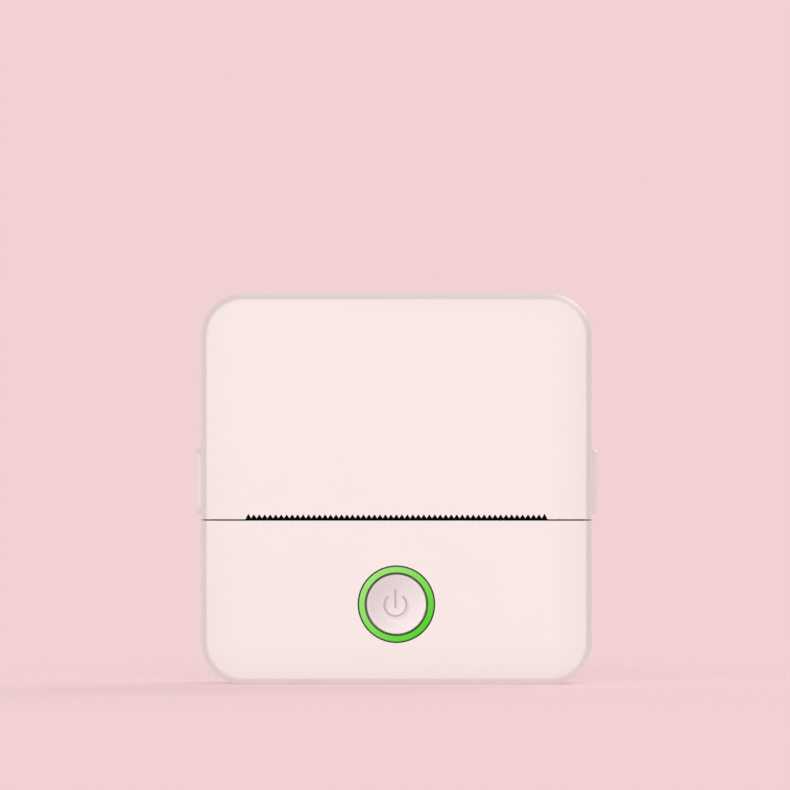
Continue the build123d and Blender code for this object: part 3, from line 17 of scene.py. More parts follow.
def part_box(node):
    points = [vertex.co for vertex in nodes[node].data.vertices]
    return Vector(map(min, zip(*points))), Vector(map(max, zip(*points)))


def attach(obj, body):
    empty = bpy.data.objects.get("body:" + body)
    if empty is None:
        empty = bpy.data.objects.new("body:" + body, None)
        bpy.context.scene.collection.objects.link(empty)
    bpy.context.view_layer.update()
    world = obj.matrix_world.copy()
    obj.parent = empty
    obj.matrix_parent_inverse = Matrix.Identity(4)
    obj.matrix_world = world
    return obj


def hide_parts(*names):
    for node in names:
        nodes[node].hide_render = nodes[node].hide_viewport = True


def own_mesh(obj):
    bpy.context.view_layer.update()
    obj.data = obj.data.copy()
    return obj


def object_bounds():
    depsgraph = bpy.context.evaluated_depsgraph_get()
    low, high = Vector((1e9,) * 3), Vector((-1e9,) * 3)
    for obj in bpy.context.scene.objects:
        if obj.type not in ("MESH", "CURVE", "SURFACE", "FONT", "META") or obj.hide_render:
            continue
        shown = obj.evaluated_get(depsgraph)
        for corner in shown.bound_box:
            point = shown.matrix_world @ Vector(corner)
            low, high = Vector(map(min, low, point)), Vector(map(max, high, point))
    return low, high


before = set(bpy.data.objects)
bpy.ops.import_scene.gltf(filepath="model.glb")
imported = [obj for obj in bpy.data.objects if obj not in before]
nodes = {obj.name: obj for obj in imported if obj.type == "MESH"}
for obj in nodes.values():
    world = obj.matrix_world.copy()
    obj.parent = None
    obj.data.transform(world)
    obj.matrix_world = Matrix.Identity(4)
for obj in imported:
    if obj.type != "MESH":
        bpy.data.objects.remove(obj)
cad_box = [list(corner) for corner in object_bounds()]
MM = 0.001
print("CAD nodes:", len(nodes), "box:", [[round(v, 4) for v in corner] for corner in cad_box])

# %% [markdown]
# ## Camera
#
# The photograph looks straight at the front with a very long lens: the side buttons, far behind the front,
# still stand out past its edges. A level camera four metres away gives the same view. It is a little above
# the middle of the box, because the photograph has more room over the box than under it.

# %% Place the camera
CAMERA_DISTANCE = 4.0
SENSOR_WIDTH = 36.0  # of the camera's film, in millimetres
FRONT_Y = cad_box[0][1]
VIEW_WIDTH = 0.1656  # width of the picture at the printer's front
VIEW_CENTRE_X = -0.0003
VIEW_CENTRE_Z = 0.0607


def add_object(name, data):
    """A new object in the scene that holds a mesh, a lamp or a camera."""
    made = bpy.data.objects.new(name, data)
    bpy.context.collection.objects.link(made)
    return made


lens_data = bpy.data.cameras.new("photo_camera")
lens_data.sensor_width = SENSOR_WIDTH
lens_data.lens = SENSOR_WIDTH * CAMERA_DISTANCE / VIEW_WIDTH
lens_data.clip_start = 0.05
lens_data.clip_end = 50.0
camera = add_object("photo_camera", lens_data)
camera.location = (VIEW_CENTRE_X, FRONT_Y - CAMERA_DISTANCE, VIEW_CENTRE_Z)
camera.rotation_euler = (math.radians(90), 0, 0)
bpy.context.scene.camera = camera
print("lens", round(lens_data.lens, 1), "mm")

# %% [markdown]
# ## Trees of nodes
#
# The background, every surface and the repeated parts are trees of nodes. By hand a node is added, set and
# then joined to others. The helpers below do all three in one line and give back the result, so that a tree
# reads like a formula. Most nodes here are plain sums, and the rest of the script builds on these few.

# %% Add, set and join a node


def feed(tree, socket, value):
    """Join an output to a socket, or set the socket to a plain value."""
    if isinstance(value, bpy.types.NodeSocket):
        tree.links.new(value, socket)
    else:
        socket.default_value = value


def add_node(tree, kind, *values, inputs=None, **settings):
    """A new node with its settings, its first inputs in their order and others by their names."""
    node = tree.nodes.new(kind)
    for setting, value in settings.items():
        setattr(node, setting, value)
    for socket, value in zip(node.inputs, values):
        feed(tree, socket, value)
    for name, value in (inputs or {}).items():
        feed(tree, node.inputs[name], value)
    return node


def output_of(tree, kind, *values, **settings):
    """The first output of a new node."""
    return add_node(tree, kind, *values, **settings).outputs[0]


# %% Nodes for numbers and vectors
X, Y, Z = 0, 1, 2  # numbers of the axes


def calculate(tree, operation, *values):
    """The result of one Math node, from sockets or numbers."""
    return output_of(tree, "ShaderNodeMath", *values, operation=operation)


def both(tree, first, second):
    """1 where both of two masks are 1."""
    return calculate(tree, "MULTIPLY", first, second)


def ramp(tree, value, start, end, low=0.0, high=1.0, shape="LINEAR"):
    """A number that goes from low to high as a value goes from start to end."""
    return output_of(tree, "ShaderNodeMapRange", value, start, end, low, high, interpolation_type=shape)


def move_vector(tree, operation, vector, by=(0.0, 0.0, 0.0)):
    """The result of one Vector Math node with a fixed second vector."""
    node = add_node(tree, "ShaderNodeVectorMath", vector, by, operation=operation)
    return node.outputs["Value" if operation == "LENGTH" else "Vector"]


def split_axes(tree, vector):
    """The three numbers of a vector: across, along and up."""
    return add_node(tree, "ShaderNodeSeparateXYZ", vector).outputs


# %% Nodes that mix colours and shaders


def mix_colour(tree, factor, first, second):
    """A colour between two colours or colour sockets."""
    node = add_node(tree, "ShaderNodeMix", factor, data_type="RGBA")
    feed(tree, node.inputs[6], first)
    feed(tree, node.inputs[7], second)
    return node.outputs[2]


def mix_shader(tree, factor, first, second):
    """A shader between two others."""
    return output_of(tree, "ShaderNodeMixShader", factor, first, second)


# %% [markdown]
# ## Floor and background
#
# Everything behind the printer is one flat pale pink, with no line where the floor meets the wall. A real
# studio bends a paper sheet for this. Here the floor glows in the background's colour, as the camera sees
# it, and gives a part of that glow back as matte paint near the printer, so that the printer's shadow
# stays. Light that reaches the printer by way of the floor sees a plain grey floor, so the casing keeps its
# own colour.

# %% Colours of the studio


def linear(red, green, blue):
    """A colour given as 0 to 255 in the picture, as Blender's linear RGBA."""

    def one(value):
        v = value / 255
        return v / 12.92 if v <= 0.04045 else ((v + 0.055) / 1.055) ** 2.4

    return (one(red), one(green), one(blue), 1.0)


def shade(colour, factor):
    """A colour made lighter or darker."""
    return tuple(min(1.0, c * factor) for c in colour[:3]) + (1.0,)


def seen_directly(tree):
    """1 for rays from the camera, from gloss and through glass, 0 for rays that carry light to a surface."""
    ray = add_node(tree, "ShaderNodeLightPath").outputs
    first = calculate(tree, "MAXIMUM", ray["Is Camera Ray"], ray["Is Glossy Ray"])
    return calculate(tree, "MAXIMUM", first, ray["Is Transmission Ray"])


BACKGROUND_PINK = linear(241, 209, 212)
LIGHT_WHITE = (1.0, 1.0, 1.0, 1.0)
WORLD_LIGHT = 0.52
print("background", [round(c, 3) for c in BACKGROUND_PINK])

# %% Make the world
world = bpy.data.worlds.new("studio")
world.use_nodes = True
tree = world.node_tree
ambient = tree.nodes["Background"]
ambient.inputs["Color"].default_value = LIGHT_WHITE
ambient.inputs["Strength"].default_value = WORLD_LIGHT
backdrop = output_of(tree, "ShaderNodeBackground", BACKGROUND_PINK)
surroundings = mix_shader(tree, seen_directly(tree), ambient.outputs[0], backdrop)
feed(tree, tree.nodes["World Output"].inputs["Surface"], surroundings)
bpy.context.scene.world = world
print("world:", world.name)

# %% Make the floor
FLOOR_HALF = 6.0
PAINT_SHARE = 0.8  # how much of the floor's look is matte paint beside the printer
PAINT_NEAR = 0.12  # the paint fades out between these distances
PAINT_FAR = 0.9
FLOOR_LEVEL = 0.76  # how bright the lit paint is where no shadow falls
FLOOR_FILL = 0.3  # even light that the floor sends up to the printer's lower edges
FLOOR_GREY = (0.6, 0.6, 0.6, 1.0)


def new_material(name):
    """A new node material and its tree."""
    material = bpy.data.materials.new(name)
    material.use_nodes = True
    return material, material.node_tree


def studio_floor_paint():
    """Glow that gives way to matte paint near the printer, and is see-through from below."""
    material, tree = new_material("studio_floor_pink")
    tree.nodes.remove(tree.nodes["Principled BSDF"])
    reach = move_vector(tree, "LENGTH", add_node(tree, "ShaderNodeTexCoord").outputs["Object"])
    fade = ramp(tree, reach, PAINT_NEAR, PAINT_FAR, PAINT_SHARE, 0.0, shape="SMOOTHSTEP")
    pink = BACKGROUND_PINK[:3]
    paint_colour = output_of(tree, "ShaderNodeVectorMath", pink, operation="SCALE", inputs={"Scale": fade})
    paint = output_of(tree, "ShaderNodeBsdfDiffuse", paint_colour)
    level = calculate(tree, "MULTIPLY_ADD", fade, -FLOOR_LEVEL, 1.0)
    glow = output_of(tree, "ShaderNodeEmission", BACKGROUND_PINK, level)
    look = output_of(tree, "ShaderNodeAddShader", paint, glow)
    grey = output_of(tree, "ShaderNodeBsdfDiffuse", FLOOR_GREY)
    fill = output_of(tree, "ShaderNodeEmission", LIGHT_WHITE, FLOOR_FILL)
    bounce = output_of(tree, "ShaderNodeAddShader", grey, fill)
    seen = mix_shader(tree, seen_directly(tree), bounce, look)
    from_below = add_node(tree, "ShaderNodeNewGeometry").outputs["Backfacing"]
    clear = output_of(tree, "ShaderNodeBsdfTransparent")
    feed(tree, tree.nodes["Material Output"].inputs["Surface"], mix_shader(tree, from_below, seen, clear))
    return material


floor_mesh = bpy.data.meshes.new("studio_floor")
corners = [(-1, -1), (1, -1), (1, 1), (-1, 1)]
floor_mesh.from_pydata([(x * FLOOR_HALF, y * FLOOR_HALF, 0.0) for x, y in corners], [], [(0, 1, 2, 3)])
floor_mesh.materials.append(studio_floor_paint())
floor = add_object("studio_floor", floor_mesh)
print("floor", 2 * FLOOR_HALF, "m wide")

# %% [markdown]
# ## Light
#
# The front of the printer is almost evenly bright and its bevelled rim is darker by the same amount all
# round. A soft even light from everywhere does most of the work, and one large lamp near the camera's line
# adds the rest, a little from the upper left so that hollows read as hollows. Two weaker lamps do the same
# for the back and the top, so that every side shows about the colour it is painted.

# %% Place the lamps
LAMPS = {
    "front_softbox": {"place": (-0.2, -2.6, 0.7), "width": 1.4, "power": 25.0},
    "rear_softbox": {"place": (0.9, 2.2, 1.3), "width": 1.2, "power": 19.0},
    "top_softbox": {"place": (0.5, 0.3, 2.6), "width": 1.2, "power": 2.0},
}
AIM = Vector((0.0, 0.0, 0.041))
for name, lamp in LAMPS.items():
    light = bpy.data.lights.new(name, "AREA")
    light.shape = "SQUARE"
    light.size = lamp["width"]
    light.energy = lamp["power"]
    holder = add_object(name, light)
    holder.location = lamp["place"]
    holder.rotation_euler = (AIM - holder.location).to_track_quat("-Z", "Y").to_euler()
bpy.context.scene.view_settings.view_transform = "Standard"
print("lamps:", sorted(LAMPS))

# %% [markdown]
# ## Moulded plastic
#
# A casing like this is injection moulded in ABS from a steel mould that was finely spark eroded, which
# leaves a satin skin with a grain of about a tenth of a millimetre. The colour drifts very slightly over
# centimetres. Both are noise on the piece's own coordinates: a coarse one for the colour, a fine one for
# relief and gloss.

# %% Coordinates and noise
EVEN = (1.0, 1.0, 1.0)
NOISE_LOW = 0.3  # nearly all of a noise lies between these two
NOISE_HIGH = 0.7


def own_coordinates(tree, stretch=EVEN, turn=(0.0, 0.0, 0.0)):
    """The piece's own coordinates in metres, stretched along each axis and turned."""
    place = add_node(tree, "ShaderNodeTexCoord").outputs["Object"]
    return output_of(tree, "ShaderNodeMapping", inputs={"Vector": place, "Scale": stretch, "Rotation": turn})


def noise(tree, size, stretch=EVEN, detail=2.0):
    """Noise whose lumps are about size metres across."""
    values = {"Vector": own_coordinates(tree, stretch), "Scale": 1.0 / size, "Detail": detail}
    return add_node(tree, "ShaderNodeTexNoise", inputs=values).outputs["Fac"]


def between(tree, factor, low=0.0, high=1.0):
    """A number that goes from low to high as a noise goes through the middle of its range."""
    return ramp(tree, factor, NOISE_LOW, NOISE_HIGH, low, high)


def patchy(tree, size, low=0.0, high=1.0):
    """A number that wanders between low and high, in patches of a size."""
    return between(tree, noise(tree, size), low, high)


# %% Colour that wanders, and all that a surface needs


def mottled(tree, colour, size, dark, light):
    """A colour that wanders between two shades of itself, in patches of a size."""
    return mix_colour(tree, patchy(tree, size), shade(colour, dark), shade(colour, light))


def dress(tree, colour, roughness, height, depth, more=None):
    """Give the main shader a colour, a roughness, relief of a depth in metres, and more values by name."""
    shader = tree.nodes["Principled BSDF"]
    relief = output_of(tree, "ShaderNodeBump", inputs={"Strength": 1.0, "Distance": depth, "Height": height})
    values = {"Base Color": colour, "Roughness": roughness, "Normal": relief, **(more or {})}
    for name, value in values.items():
        feed(tree, shader.inputs[name], value)


# %% Moulded finishes
DRIFT_SIZE = 14 * MM
GLOSS_SPREAD = 0.05
PLASTIC_IOR = 1.5


def moulded(name, colour, roughness=0.45, drift=0.02, grain=0.12 * MM, depth=0.004 * MM, specular=0.5):
    """Injection-moulded plastic with a fine eroded grain."""
    material, tree = new_material(name)
    tone = mottled(tree, colour, DRIFT_SIZE, 1 - drift, 1 + drift)
    fine = noise(tree, grain, detail=3.0)
    gloss = between(tree, fine, roughness - GLOSS_SPREAD, roughness + GLOSS_SPREAD)
    dress(tree, tone, gloss, fine, depth, {"IOR": PLASTIC_IOR, "Specular IOR Level": specular})
    return material


# The side buttons' pink is a little lighter than the casing's, as painted light for their flanks, which sit
# in shade behind the front.
release_pink = moulded("release_pink_painted_light", linear(254, 238, 237), 0.42, drift=0.004)
tear_black = moulded("tear_strip_black", linear(4, 4, 4), 0.9, drift=0.08, specular=0.05)
liner_grey = moulded("liner_grey_abs", linear(92, 90, 92), 0.5, 0.04, grain=0.2 * MM, depth=0.008 * MM)
tray_grey = moulded("tray_grey_abs", linear(74, 73, 76), 0.36, 0.03, grain=0.3 * MM)
part_black = moulded("component_black", linear(26, 26, 28), 0.55, 0.1, grain=0.06 * MM)
nylon_white = moulded("nylon_white", linear(236, 232, 220), 0.4)
ceramic_tan = moulded("capacitor_ceramic", linear(176, 138, 96), 0.35, 0.06, grain=0.1 * MM)
lens_smoke = moulded("lens_smoke", linear(44, 22, 30), 0.08, 0.05)
tape_grey = moulded("adhesive_tape", linear(66, 64, 64), 0.8, 0.15, grain=0.4 * MM, depth=0.05 * MM)
resin_black = moulded("driver_resin", linear(22, 22, 24), 0.18, 0.1, grain=0.8 * MM, depth=0.02 * MM)
sensor_black = moulded("sensor_black", linear(20, 20, 22), 0.22, 0.1)
lamp_clear = moulded("lamp_clear", linear(226, 236, 210), 0.15, 0.03)
print("materials so far:", len(bpy.data.materials))

# %% [markdown]
# ## The casing's painted edge shade
#
# The front is crowned, and the eye reads that as a border that darkens a little before the bevelled rim,
# more at the right and below than at the left and above. The crown is only half a millimetre high, so its
# shading is faint, and the rim's is even. The finish paints both in as shade a few percent darker: a painted
# shade border on the front, stronger at the lower right as under light from the upper left, and a painted
# dark line along the middle of the bevel. It needs the distance to an outline with round corners: how far a
# point lies outside the smaller square that joins the corners' centres.

# %% Casing finish with painted shade
CASE_HALF = cad_box[1][2] / 2
CORNER_R = 9.0 * MM
PAINTED_SHADE_BAND = (0.5 * MM, 7.5 * MM)  # the painted shade grows between these distances from the corner square
PAINTED_RIM_LINE = (7.7 * MM, 8.2 * MM, 8.9 * MM)  # start, middle and end of the painted shade line on the bevel
PAINTED_BORDER_SHADE = 0.05
PAINTED_RIM_SHADE = 0.08
UPPER_LEFT_SHADE_SHARE = 0.4  # how strong the painted shade border is at the upper left, against 1 at the lower right
CROWN_DEPTH = 0.55 * MM
CROWN_END = 1.2 * CROWN_DEPTH  # the border has faded out this far behind the front


def with_painted_edge_shade(material, colour):
    """The casing's plastic with painted shade: a faint darker band on the crowned front and a faint dark
    line on the bevel.
    """
    tree = material.node_tree
    base = tree.nodes["Principled BSDF"].inputs["Base Color"]
    plain = base.links[0].from_socket
    place = move_vector(tree, "SUBTRACT", own_coordinates(tree), (0.0, 0.0, CASE_HALF))
    square = CASE_HALF - CORNER_R
    outside = move_vector(tree, "SUBTRACT", move_vector(tree, "ABSOLUTE", place), (square, 0.0, square))
    outside = move_vector(tree, "MULTIPLY", move_vector(tree, "MAXIMUM", outside), (1.0, 0.0, 1.0))
    reach = move_vector(tree, "LENGTH", outside)
    across, along, up = split_axes(tree, place)
    fall = calculate(tree, "SUBTRACT", across, up)
    shade_slant = ramp(tree, fall, -CASE_HALF, CASE_HALF, UPPER_LEFT_SHADE_SHARE, 1.0)
    front = ramp(tree, along, FRONT_Y + CROWN_END, FRONT_Y + CROWN_DEPTH)
    # painted shade: the front a few percent darker near its edges, more at the lower right
    border = both(tree, both(tree, ramp(tree, reach, *PAINTED_SHADE_BAND), shade_slant), front)
    start, middle, end = PAINTED_RIM_LINE
    # painted shade: a dark line along the middle of the bevel
    line = both(tree, ramp(tree, reach, start, middle), ramp(tree, reach, end, middle))
    line = both(tree, line, ramp(tree, up, -CASE_HALF, -square))
    tone = mix_colour(tree, border, plain, shade(colour, 1 - PAINTED_BORDER_SHADE))
    feed(tree, base, mix_colour(tree, line, tone, shade(colour, 1 - PAINTED_RIM_SHADE)))
    return material


SHELL_COLOUR = linear(252, 235, 233)
shell_pink = with_painted_edge_shade(moulded("shell_pink_edge_shaded", SHELL_COLOUR, 0.5, drift=0.004), SHELL_COLOUR)
print("corner square", round(2 * (CASE_HALF - CORNER_R) / MM, 1), "mm")

# %% [markdown]
# ## Glass-filled nylon and acetal
#
# The inner frame is nylon with short glass fibres, which show as faint pale streaks along the flow. The
# gears are acetal, a waxy white that lets a little light in, so they get some scattering under the surface.

# %% Frame and gear finishes
FIBRE = 0.25 * MM
FIBRE_STRETCH = (0.12, 1.0, 1.0)
WAX_GLOW = {
    "Subsurface Weight": 0.25,
    "Subsurface Radius": (0.9 * MM, 0.8 * MM, 0.6 * MM),
    "Subsurface Scale": 1.0,
}


def glass_filled(name, colour):
    """Black nylon with pale fibre streaks along X."""
    material, tree = new_material(name)
    streak = between(tree, noise(tree, FIBRE, stretch=FIBRE_STRETCH, detail=4.0))
    tone = mix_colour(tree, streak, shade(colour, 0.8), shade(colour, 1.7))
    dress(tree, tone, between(tree, streak, 0.42, 0.6), noise(tree, 0.3 * MM, detail=4.0), 0.015 * MM)
    return material


def acetal(name, colour):
    """Waxy white gear plastic."""
    material, tree = new_material(name)
    tone = mottled(tree, colour, 3 * MM, 0.96, 1.0)
    gloss = patchy(tree, 0.4 * MM, 0.24, 0.34)
    dress(tree, tone, gloss, noise(tree, 0.15 * MM), 0.003 * MM, WAX_GLOW)
    return material


frame_black = glass_filled("frame_glass_nylon", linear(40, 40, 43))
gear_white = acetal("gear_acetal", linear(238, 235, 224))
print("frame and gears:", frame_black.name, gear_white.name)

# %% [markdown]
# ## Metals
#
# Turned pins and shafts carry fine rings round their axis, drawn sheet has long streaks, and the screws are
# zinc plated and blackened. One function covers them: noise that is stretched across or along the piece
# moves the roughness and a shallow relief.

# %% Metal finishes
RINGS_ON_X = (1.0, 0.05, 0.05)
STREAKS_ON_X = (0.06, 1.0, 1.0)


def metal(name, colour, roughness, stretch=EVEN, size=0.2 * MM, depth=0.002 * MM, drift=0.08):
    """A worked metal surface, its marks drawn out along the axes that have small factors."""
    material, tree = new_material(name)
    marks = noise(tree, size, stretch=stretch, detail=4.0)
    worn = mottled(tree, colour, 2.5 * MM, 1 - drift, 1 + drift)
    gloss = between(tree, marks, roughness * 0.75, roughness * 1.3)
    dress(tree, worn, gloss, marks, depth, {"Metallic": 1.0})
    return material


turned_steel = metal("turned_steel", linear(196, 197, 200), 0.24, RINGS_ON_X)
drawn_steel = metal("drawn_steel", linear(186, 187, 190), 0.32, STREAKS_ON_X, size=0.3 * MM)
spring_steel = metal("spring_steel", linear(190, 190, 194), 0.22, size=0.1 * MM)
black_zinc = metal("black_zinc", linear(58, 58, 62), 0.36, size=0.15 * MM, drift=0.15)
tinned_lid = metal("tinned_lid", linear(200, 201, 204), 0.28, (1.0, 1.0, 0.08), size=0.25 * MM)
machined_brass = metal("machined_brass", linear(214, 178, 96), 0.26, RINGS_ON_X)
ALUMINIUM = linear(205, 207, 210)
etched_aluminium = metal("etched_aluminium", ALUMINIUM, 0.42, (0.05, 1.0, 1.0), 0.25 * MM, 0.004 * MM)
gold_contact = metal("gold_contact", linear(226, 186, 92), 0.25, size=0.1 * MM)
tin_solder = metal("tin_solder", linear(190, 192, 196), 0.3, size=0.08 * MM)
print("materials so far:", len(bpy.data.materials))

# %% [markdown]
# ## Rubber, film, foil and ceramic
#
# The platen is ground rubber with a dry, even nap. The head is a glazed ceramic plate with a brown heater
# line across it and a comb of fine electrodes, 8 to the millimetre. The cell is a foil pouch with soft
# creases, and the flat cable shows its conductors through amber film.

# %% Pattern helpers


def stripes(tree, axis, pitch, share):
    """1 on stripes across an axis, of a share of the pitch, else 0."""
    place = split_axes(tree, own_coordinates(tree))[axis]
    return calculate(tree, "LESS_THAN", calculate(tree, "WRAP", place, pitch, 0.0), pitch * share)


def band(tree, axis, centre, half):
    """1 where a coordinate is within half of a centre, else 0."""
    return calculate(tree, "COMPARE", split_axes(tree, own_coordinates(tree))[axis], centre, half)


# %% Rubber and the print head's glaze
ELECTRODE_PITCH = 0.125 * MM
ELECTRODES_BEHIND = 1.6 * MM  # the comb's middle, behind the nip
ELECTRODE_HALF = 1.5 * MM  # half the comb's depth
HEATER_HALF = 0.16 * MM
# half the band on the head's front edge that is painted black as shade
SLOT_SHADE_HALF = 0.05 * MM
GLAZE_WHITE, HEATER_BROWN = linear(232, 230, 222), linear(98, 62, 44)
# The front edge's black is painted shade, for the dark inside the paper slot.
ELECTRODE_GOLD, SLOT_SHADE_BLACK = linear(196, 168, 112), linear(12, 12, 13)


def ground_rubber(name, colour, specular):
    """Black rubber, ground all over."""
    material, tree = new_material(name)
    nap = noise(tree, 0.08 * MM, stretch=(1.0, 0.5, 0.5), detail=4.0)
    dusty = mottled(tree, colour, 4 * MM, 0.85, 1.35)
    dress(tree, dusty, between(tree, nap, 0.7, 0.9), nap, 0.012 * MM, {"Specular IOR Level": specular})
    return material


def head_glaze(name, nip_y, front_y):
    """Glazed ceramic with the heater line, its electrodes and a front edge painted black as the shade inside
    the paper slot.
    """
    material, tree = new_material(name)
    reach = band(tree, Y, nip_y + ELECTRODES_BEHIND, ELECTRODE_HALF)
    comb = both(tree, stripes(tree, X, ELECTRODE_PITCH, 0.5), reach)
    tone = mix_colour(tree, comb, GLAZE_WHITE, ELECTRODE_GOLD)
    tone = mix_colour(tree, band(tree, Y, nip_y, HEATER_HALF), tone, HEATER_BROWN)
    # painted shade: the head's front edge black, for the dark inside the paper slot
    front = band(tree, Y, front_y, SLOT_SHADE_HALF)
    tone = mix_colour(tree, front, tone, SLOT_SHADE_BLACK)
    gloss = calculate(tree, "MAXIMUM", patchy(tree, 1.5 * MM, 0.08, 0.16), front)
    dress(tree, tone, gloss, noise(tree, 0.6 * MM), 0.002 * MM)
    return material


platen_low, platen_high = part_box("platen_rubber")
NIP_Y = (platen_low.y + platen_high.y) / 2
platen_black = ground_rubber("platen_rubber", linear(23, 23, 24), specular=0.25)
ceramic_head = head_glaze("head_glaze", NIP_Y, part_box("head_substrate")[0].y)
print("nip at y", round(NIP_Y / MM, 2), "mm")

# %% Film, foil and wire
CONDUCTOR_PITCH = 0.8 * MM
CONDUCTOR_SHARE = 0.55


def amber_film(name):
    """Polyimide film with copper conductors under it."""
    material, tree = new_material(name)
    copper = stripes(tree, X, CONDUCTOR_PITCH, CONDUCTOR_SHARE)
    tone = mix_colour(tree, copper, linear(120, 70, 24), linear(186, 112, 48))
    dress(tree, tone, patchy(tree, 1 * MM, 0.2, 0.32), copper, 0.02 * MM)
    return material


def pouch_foil(name, silver):
    """Laminated foil of the cell, softly creased."""
    material, tree = new_material(name)
    crease = noise(tree, 5 * MM, detail=5.0)
    tone = mix_colour(tree, between(tree, crease), shade(silver, 0.85), silver)
    gloss = patchy(tree, 0.8 * MM, 0.3, 0.45)
    dress(tree, tone, gloss, crease, 0.12 * MM, {"Metallic": 0.85})
    return material


def insulation(name, colour):
    """Extruded wire insulation."""
    material, tree = new_material(name)
    gloss = patchy(tree, 0.3 * MM, 0.3, 0.42)
    dress(tree, mottled(tree, colour, 2 * MM, 0.92, 1.08), gloss, noise(tree, 0.2 * MM), 0.004 * MM)
    return material


cable_amber = amber_film("cable_film")
cell_foil = pouch_foil("cell_foil", linear(188, 190, 194))
lead_red = insulation("lead_red", linear(184, 34, 30))
lead_grey = insulation("lead_grey", linear(120, 120, 124))
print("film, foil and wire:", cable_amber.name, cell_foil.name, lead_red.name, lead_grey.name)

# %% [markdown]
# ## The circuit board
#
# A board is glass cloth under green solder mask. Its copper shows through the mask as paler runs of
# parallel traces, some upright and some level, and between them are small tinned holes. Coarse noise picks
# where traces lie and which way they run, and the cells of a Voronoi pattern each hold one round hole.

# %% Board finish
TRACE_PITCH = 0.6 * MM
TRACE_SHARE = 0.4
RUN_SIZE, RUN_EDGE = 6 * MM, (0.49, 0.51)  # patches of traces that run one way, and how sharply they end
TRACE_SIZE, TRACE_EDGE = 4 * MM, (0.46, 0.47)  # patches that have traces at all
HOLE_SPACING = 2.6 * MM
HOLE_RING = 0.3 * MM
HOLE_R = 0.15 * MM
MASK_GREEN, TRACE_GREEN = linear(12, 76, 45), linear(32, 116, 68)
HOLE_TIN, HOLE_DARK = linear(196, 190, 170), linear(18, 30, 24)


def circuit_board(name):
    """Green solder mask over runs of traces, with tinned holes between them."""
    material, tree = new_material(name)
    upright = ramp(tree, noise(tree, RUN_SIZE, detail=0.0), *RUN_EDGE)
    level = calculate(tree, "SUBTRACT", 1.0, upright)
    upright_runs = both(tree, stripes(tree, X, TRACE_PITCH, TRACE_SHARE), upright)
    level_runs = both(tree, stripes(tree, Z, TRACE_PITCH, TRACE_SHARE), level)
    patches = ramp(tree, noise(tree, TRACE_SIZE, detail=0.0), *TRACE_EDGE)
    traces = both(tree, calculate(tree, "ADD", upright_runs, level_runs), patches)
    flat = own_coordinates(tree, turn=(math.radians(90), 0, 0))
    cells = {"Vector": flat, "Scale": 1 / HOLE_SPACING}
    holes = add_node(tree, "ShaderNodeTexVoronoi", voronoi_dimensions="2D", inputs=cells)
    tone = mix_colour(tree, traces, MASK_GREEN, TRACE_GREEN)
    for radius, colour in ((HOLE_RING, HOLE_TIN), (HOLE_R, HOLE_DARK)):
        inside = calculate(tree, "LESS_THAN", holes.outputs["Distance"], radius / HOLE_SPACING)
        tone = mix_colour(tree, inside, tone, colour)
    dress(tree, tone, patchy(tree, 1.2 * MM, 0.2, 0.32), traces, 0.03 * MM)
    return material


board_green = circuit_board("solder_mask")
print("materials so far:", len(bpy.data.materials))

# %% [markdown]
# ## The lit ring and the button
#
# The ring is clear plastic that four lamps light from behind. It glows green, paler at the upper left and
# deeper at the lower right. Both of its edges are painted black, as painted shade that widens the dark gaps
# beside it. The cap inside it is a shallow dish with the power sign sunk into it. Its dish is painted as
# well, darker at the upper left and lighter at the lower right, as the painted shade of a dish lit from the
# upper left. A sunk stroke is painted as two lines, a dark painted shadow at its upper left, where the light
# from the upper left can't reach, and a paler painted shade at its lower right. All of this is worked out
# from distances in the pieces' own coordinates, so it stays put when the view changes.

# %% Measure the ring and the cap
ring_low, ring_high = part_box("light_ring")
cap_low, cap_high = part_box("power_button")
RING_CENTRE = (ring_low + ring_high) / 2
RING_OUTER = 8.0 * MM
RING_INNER = 6.55 * MM
OUTER_GAP_SHADE = (RING_OUTER - 0.26 * MM, RING_OUTER - 0.08 * MM)  # from green to the painted black of the gap shade
INNER_GAP_SHADE = (RING_INNER + 0.08 * MM, RING_INNER + 0.16 * MM)  # from the painted black of the gap shade to green
DISH_R = 5.7 * MM
SIGN_R = 2.32 * MM
SIGN_DROP = 0.4 * MM
OPEN_TOP = math.cos(math.radians(39))  # the cosine of half the arc's gap
GAP_SOFT = 0.03  # the arc's ends fade over this much of the cosine
SIGN_BAR = (-0.7 * MM, 3.2 * MM)  # the bar's ends, from the arc's centre
SIGN_SHIFT = 0.26 * MM  # how far a stroke's two lines lie from its middle, both across and up
SIGN_SHADOW_HALF = 0.17 * MM  # half the painted shadow line
SIGN_PALE_SHADE_HALF = 0.26 * MM  # half the paler painted shade line
SOFT = 0.06 * MM
cap_width = cap_high.x - cap_low.x
print("ring centre z", round(RING_CENTRE.z / MM, 2), "cap", round(cap_width / MM, 2), "mm wide")

# %% Ring and cap helpers


def from_point(tree, point):
    """The distance from a point, as seen from the front."""
    offset = move_vector(tree, "SUBTRACT", own_coordinates(tree), point)
    return move_vector(tree, "LENGTH", move_vector(tree, "MULTIPLY", offset, (1.0, 0.0, 1.0)))


def diagonal(tree, reach):
    """0 at the upper left of the ring's centre and 1 at the lower right, over a reach either way."""
    across, _, up = split_axes(tree, own_coordinates(tree))
    centre = RING_CENTRE.x - RING_CENTRE.z
    reach *= math.sqrt(2)
    return ramp(tree, calculate(tree, "SUBTRACT", across, up), centre - reach, centre + reach)


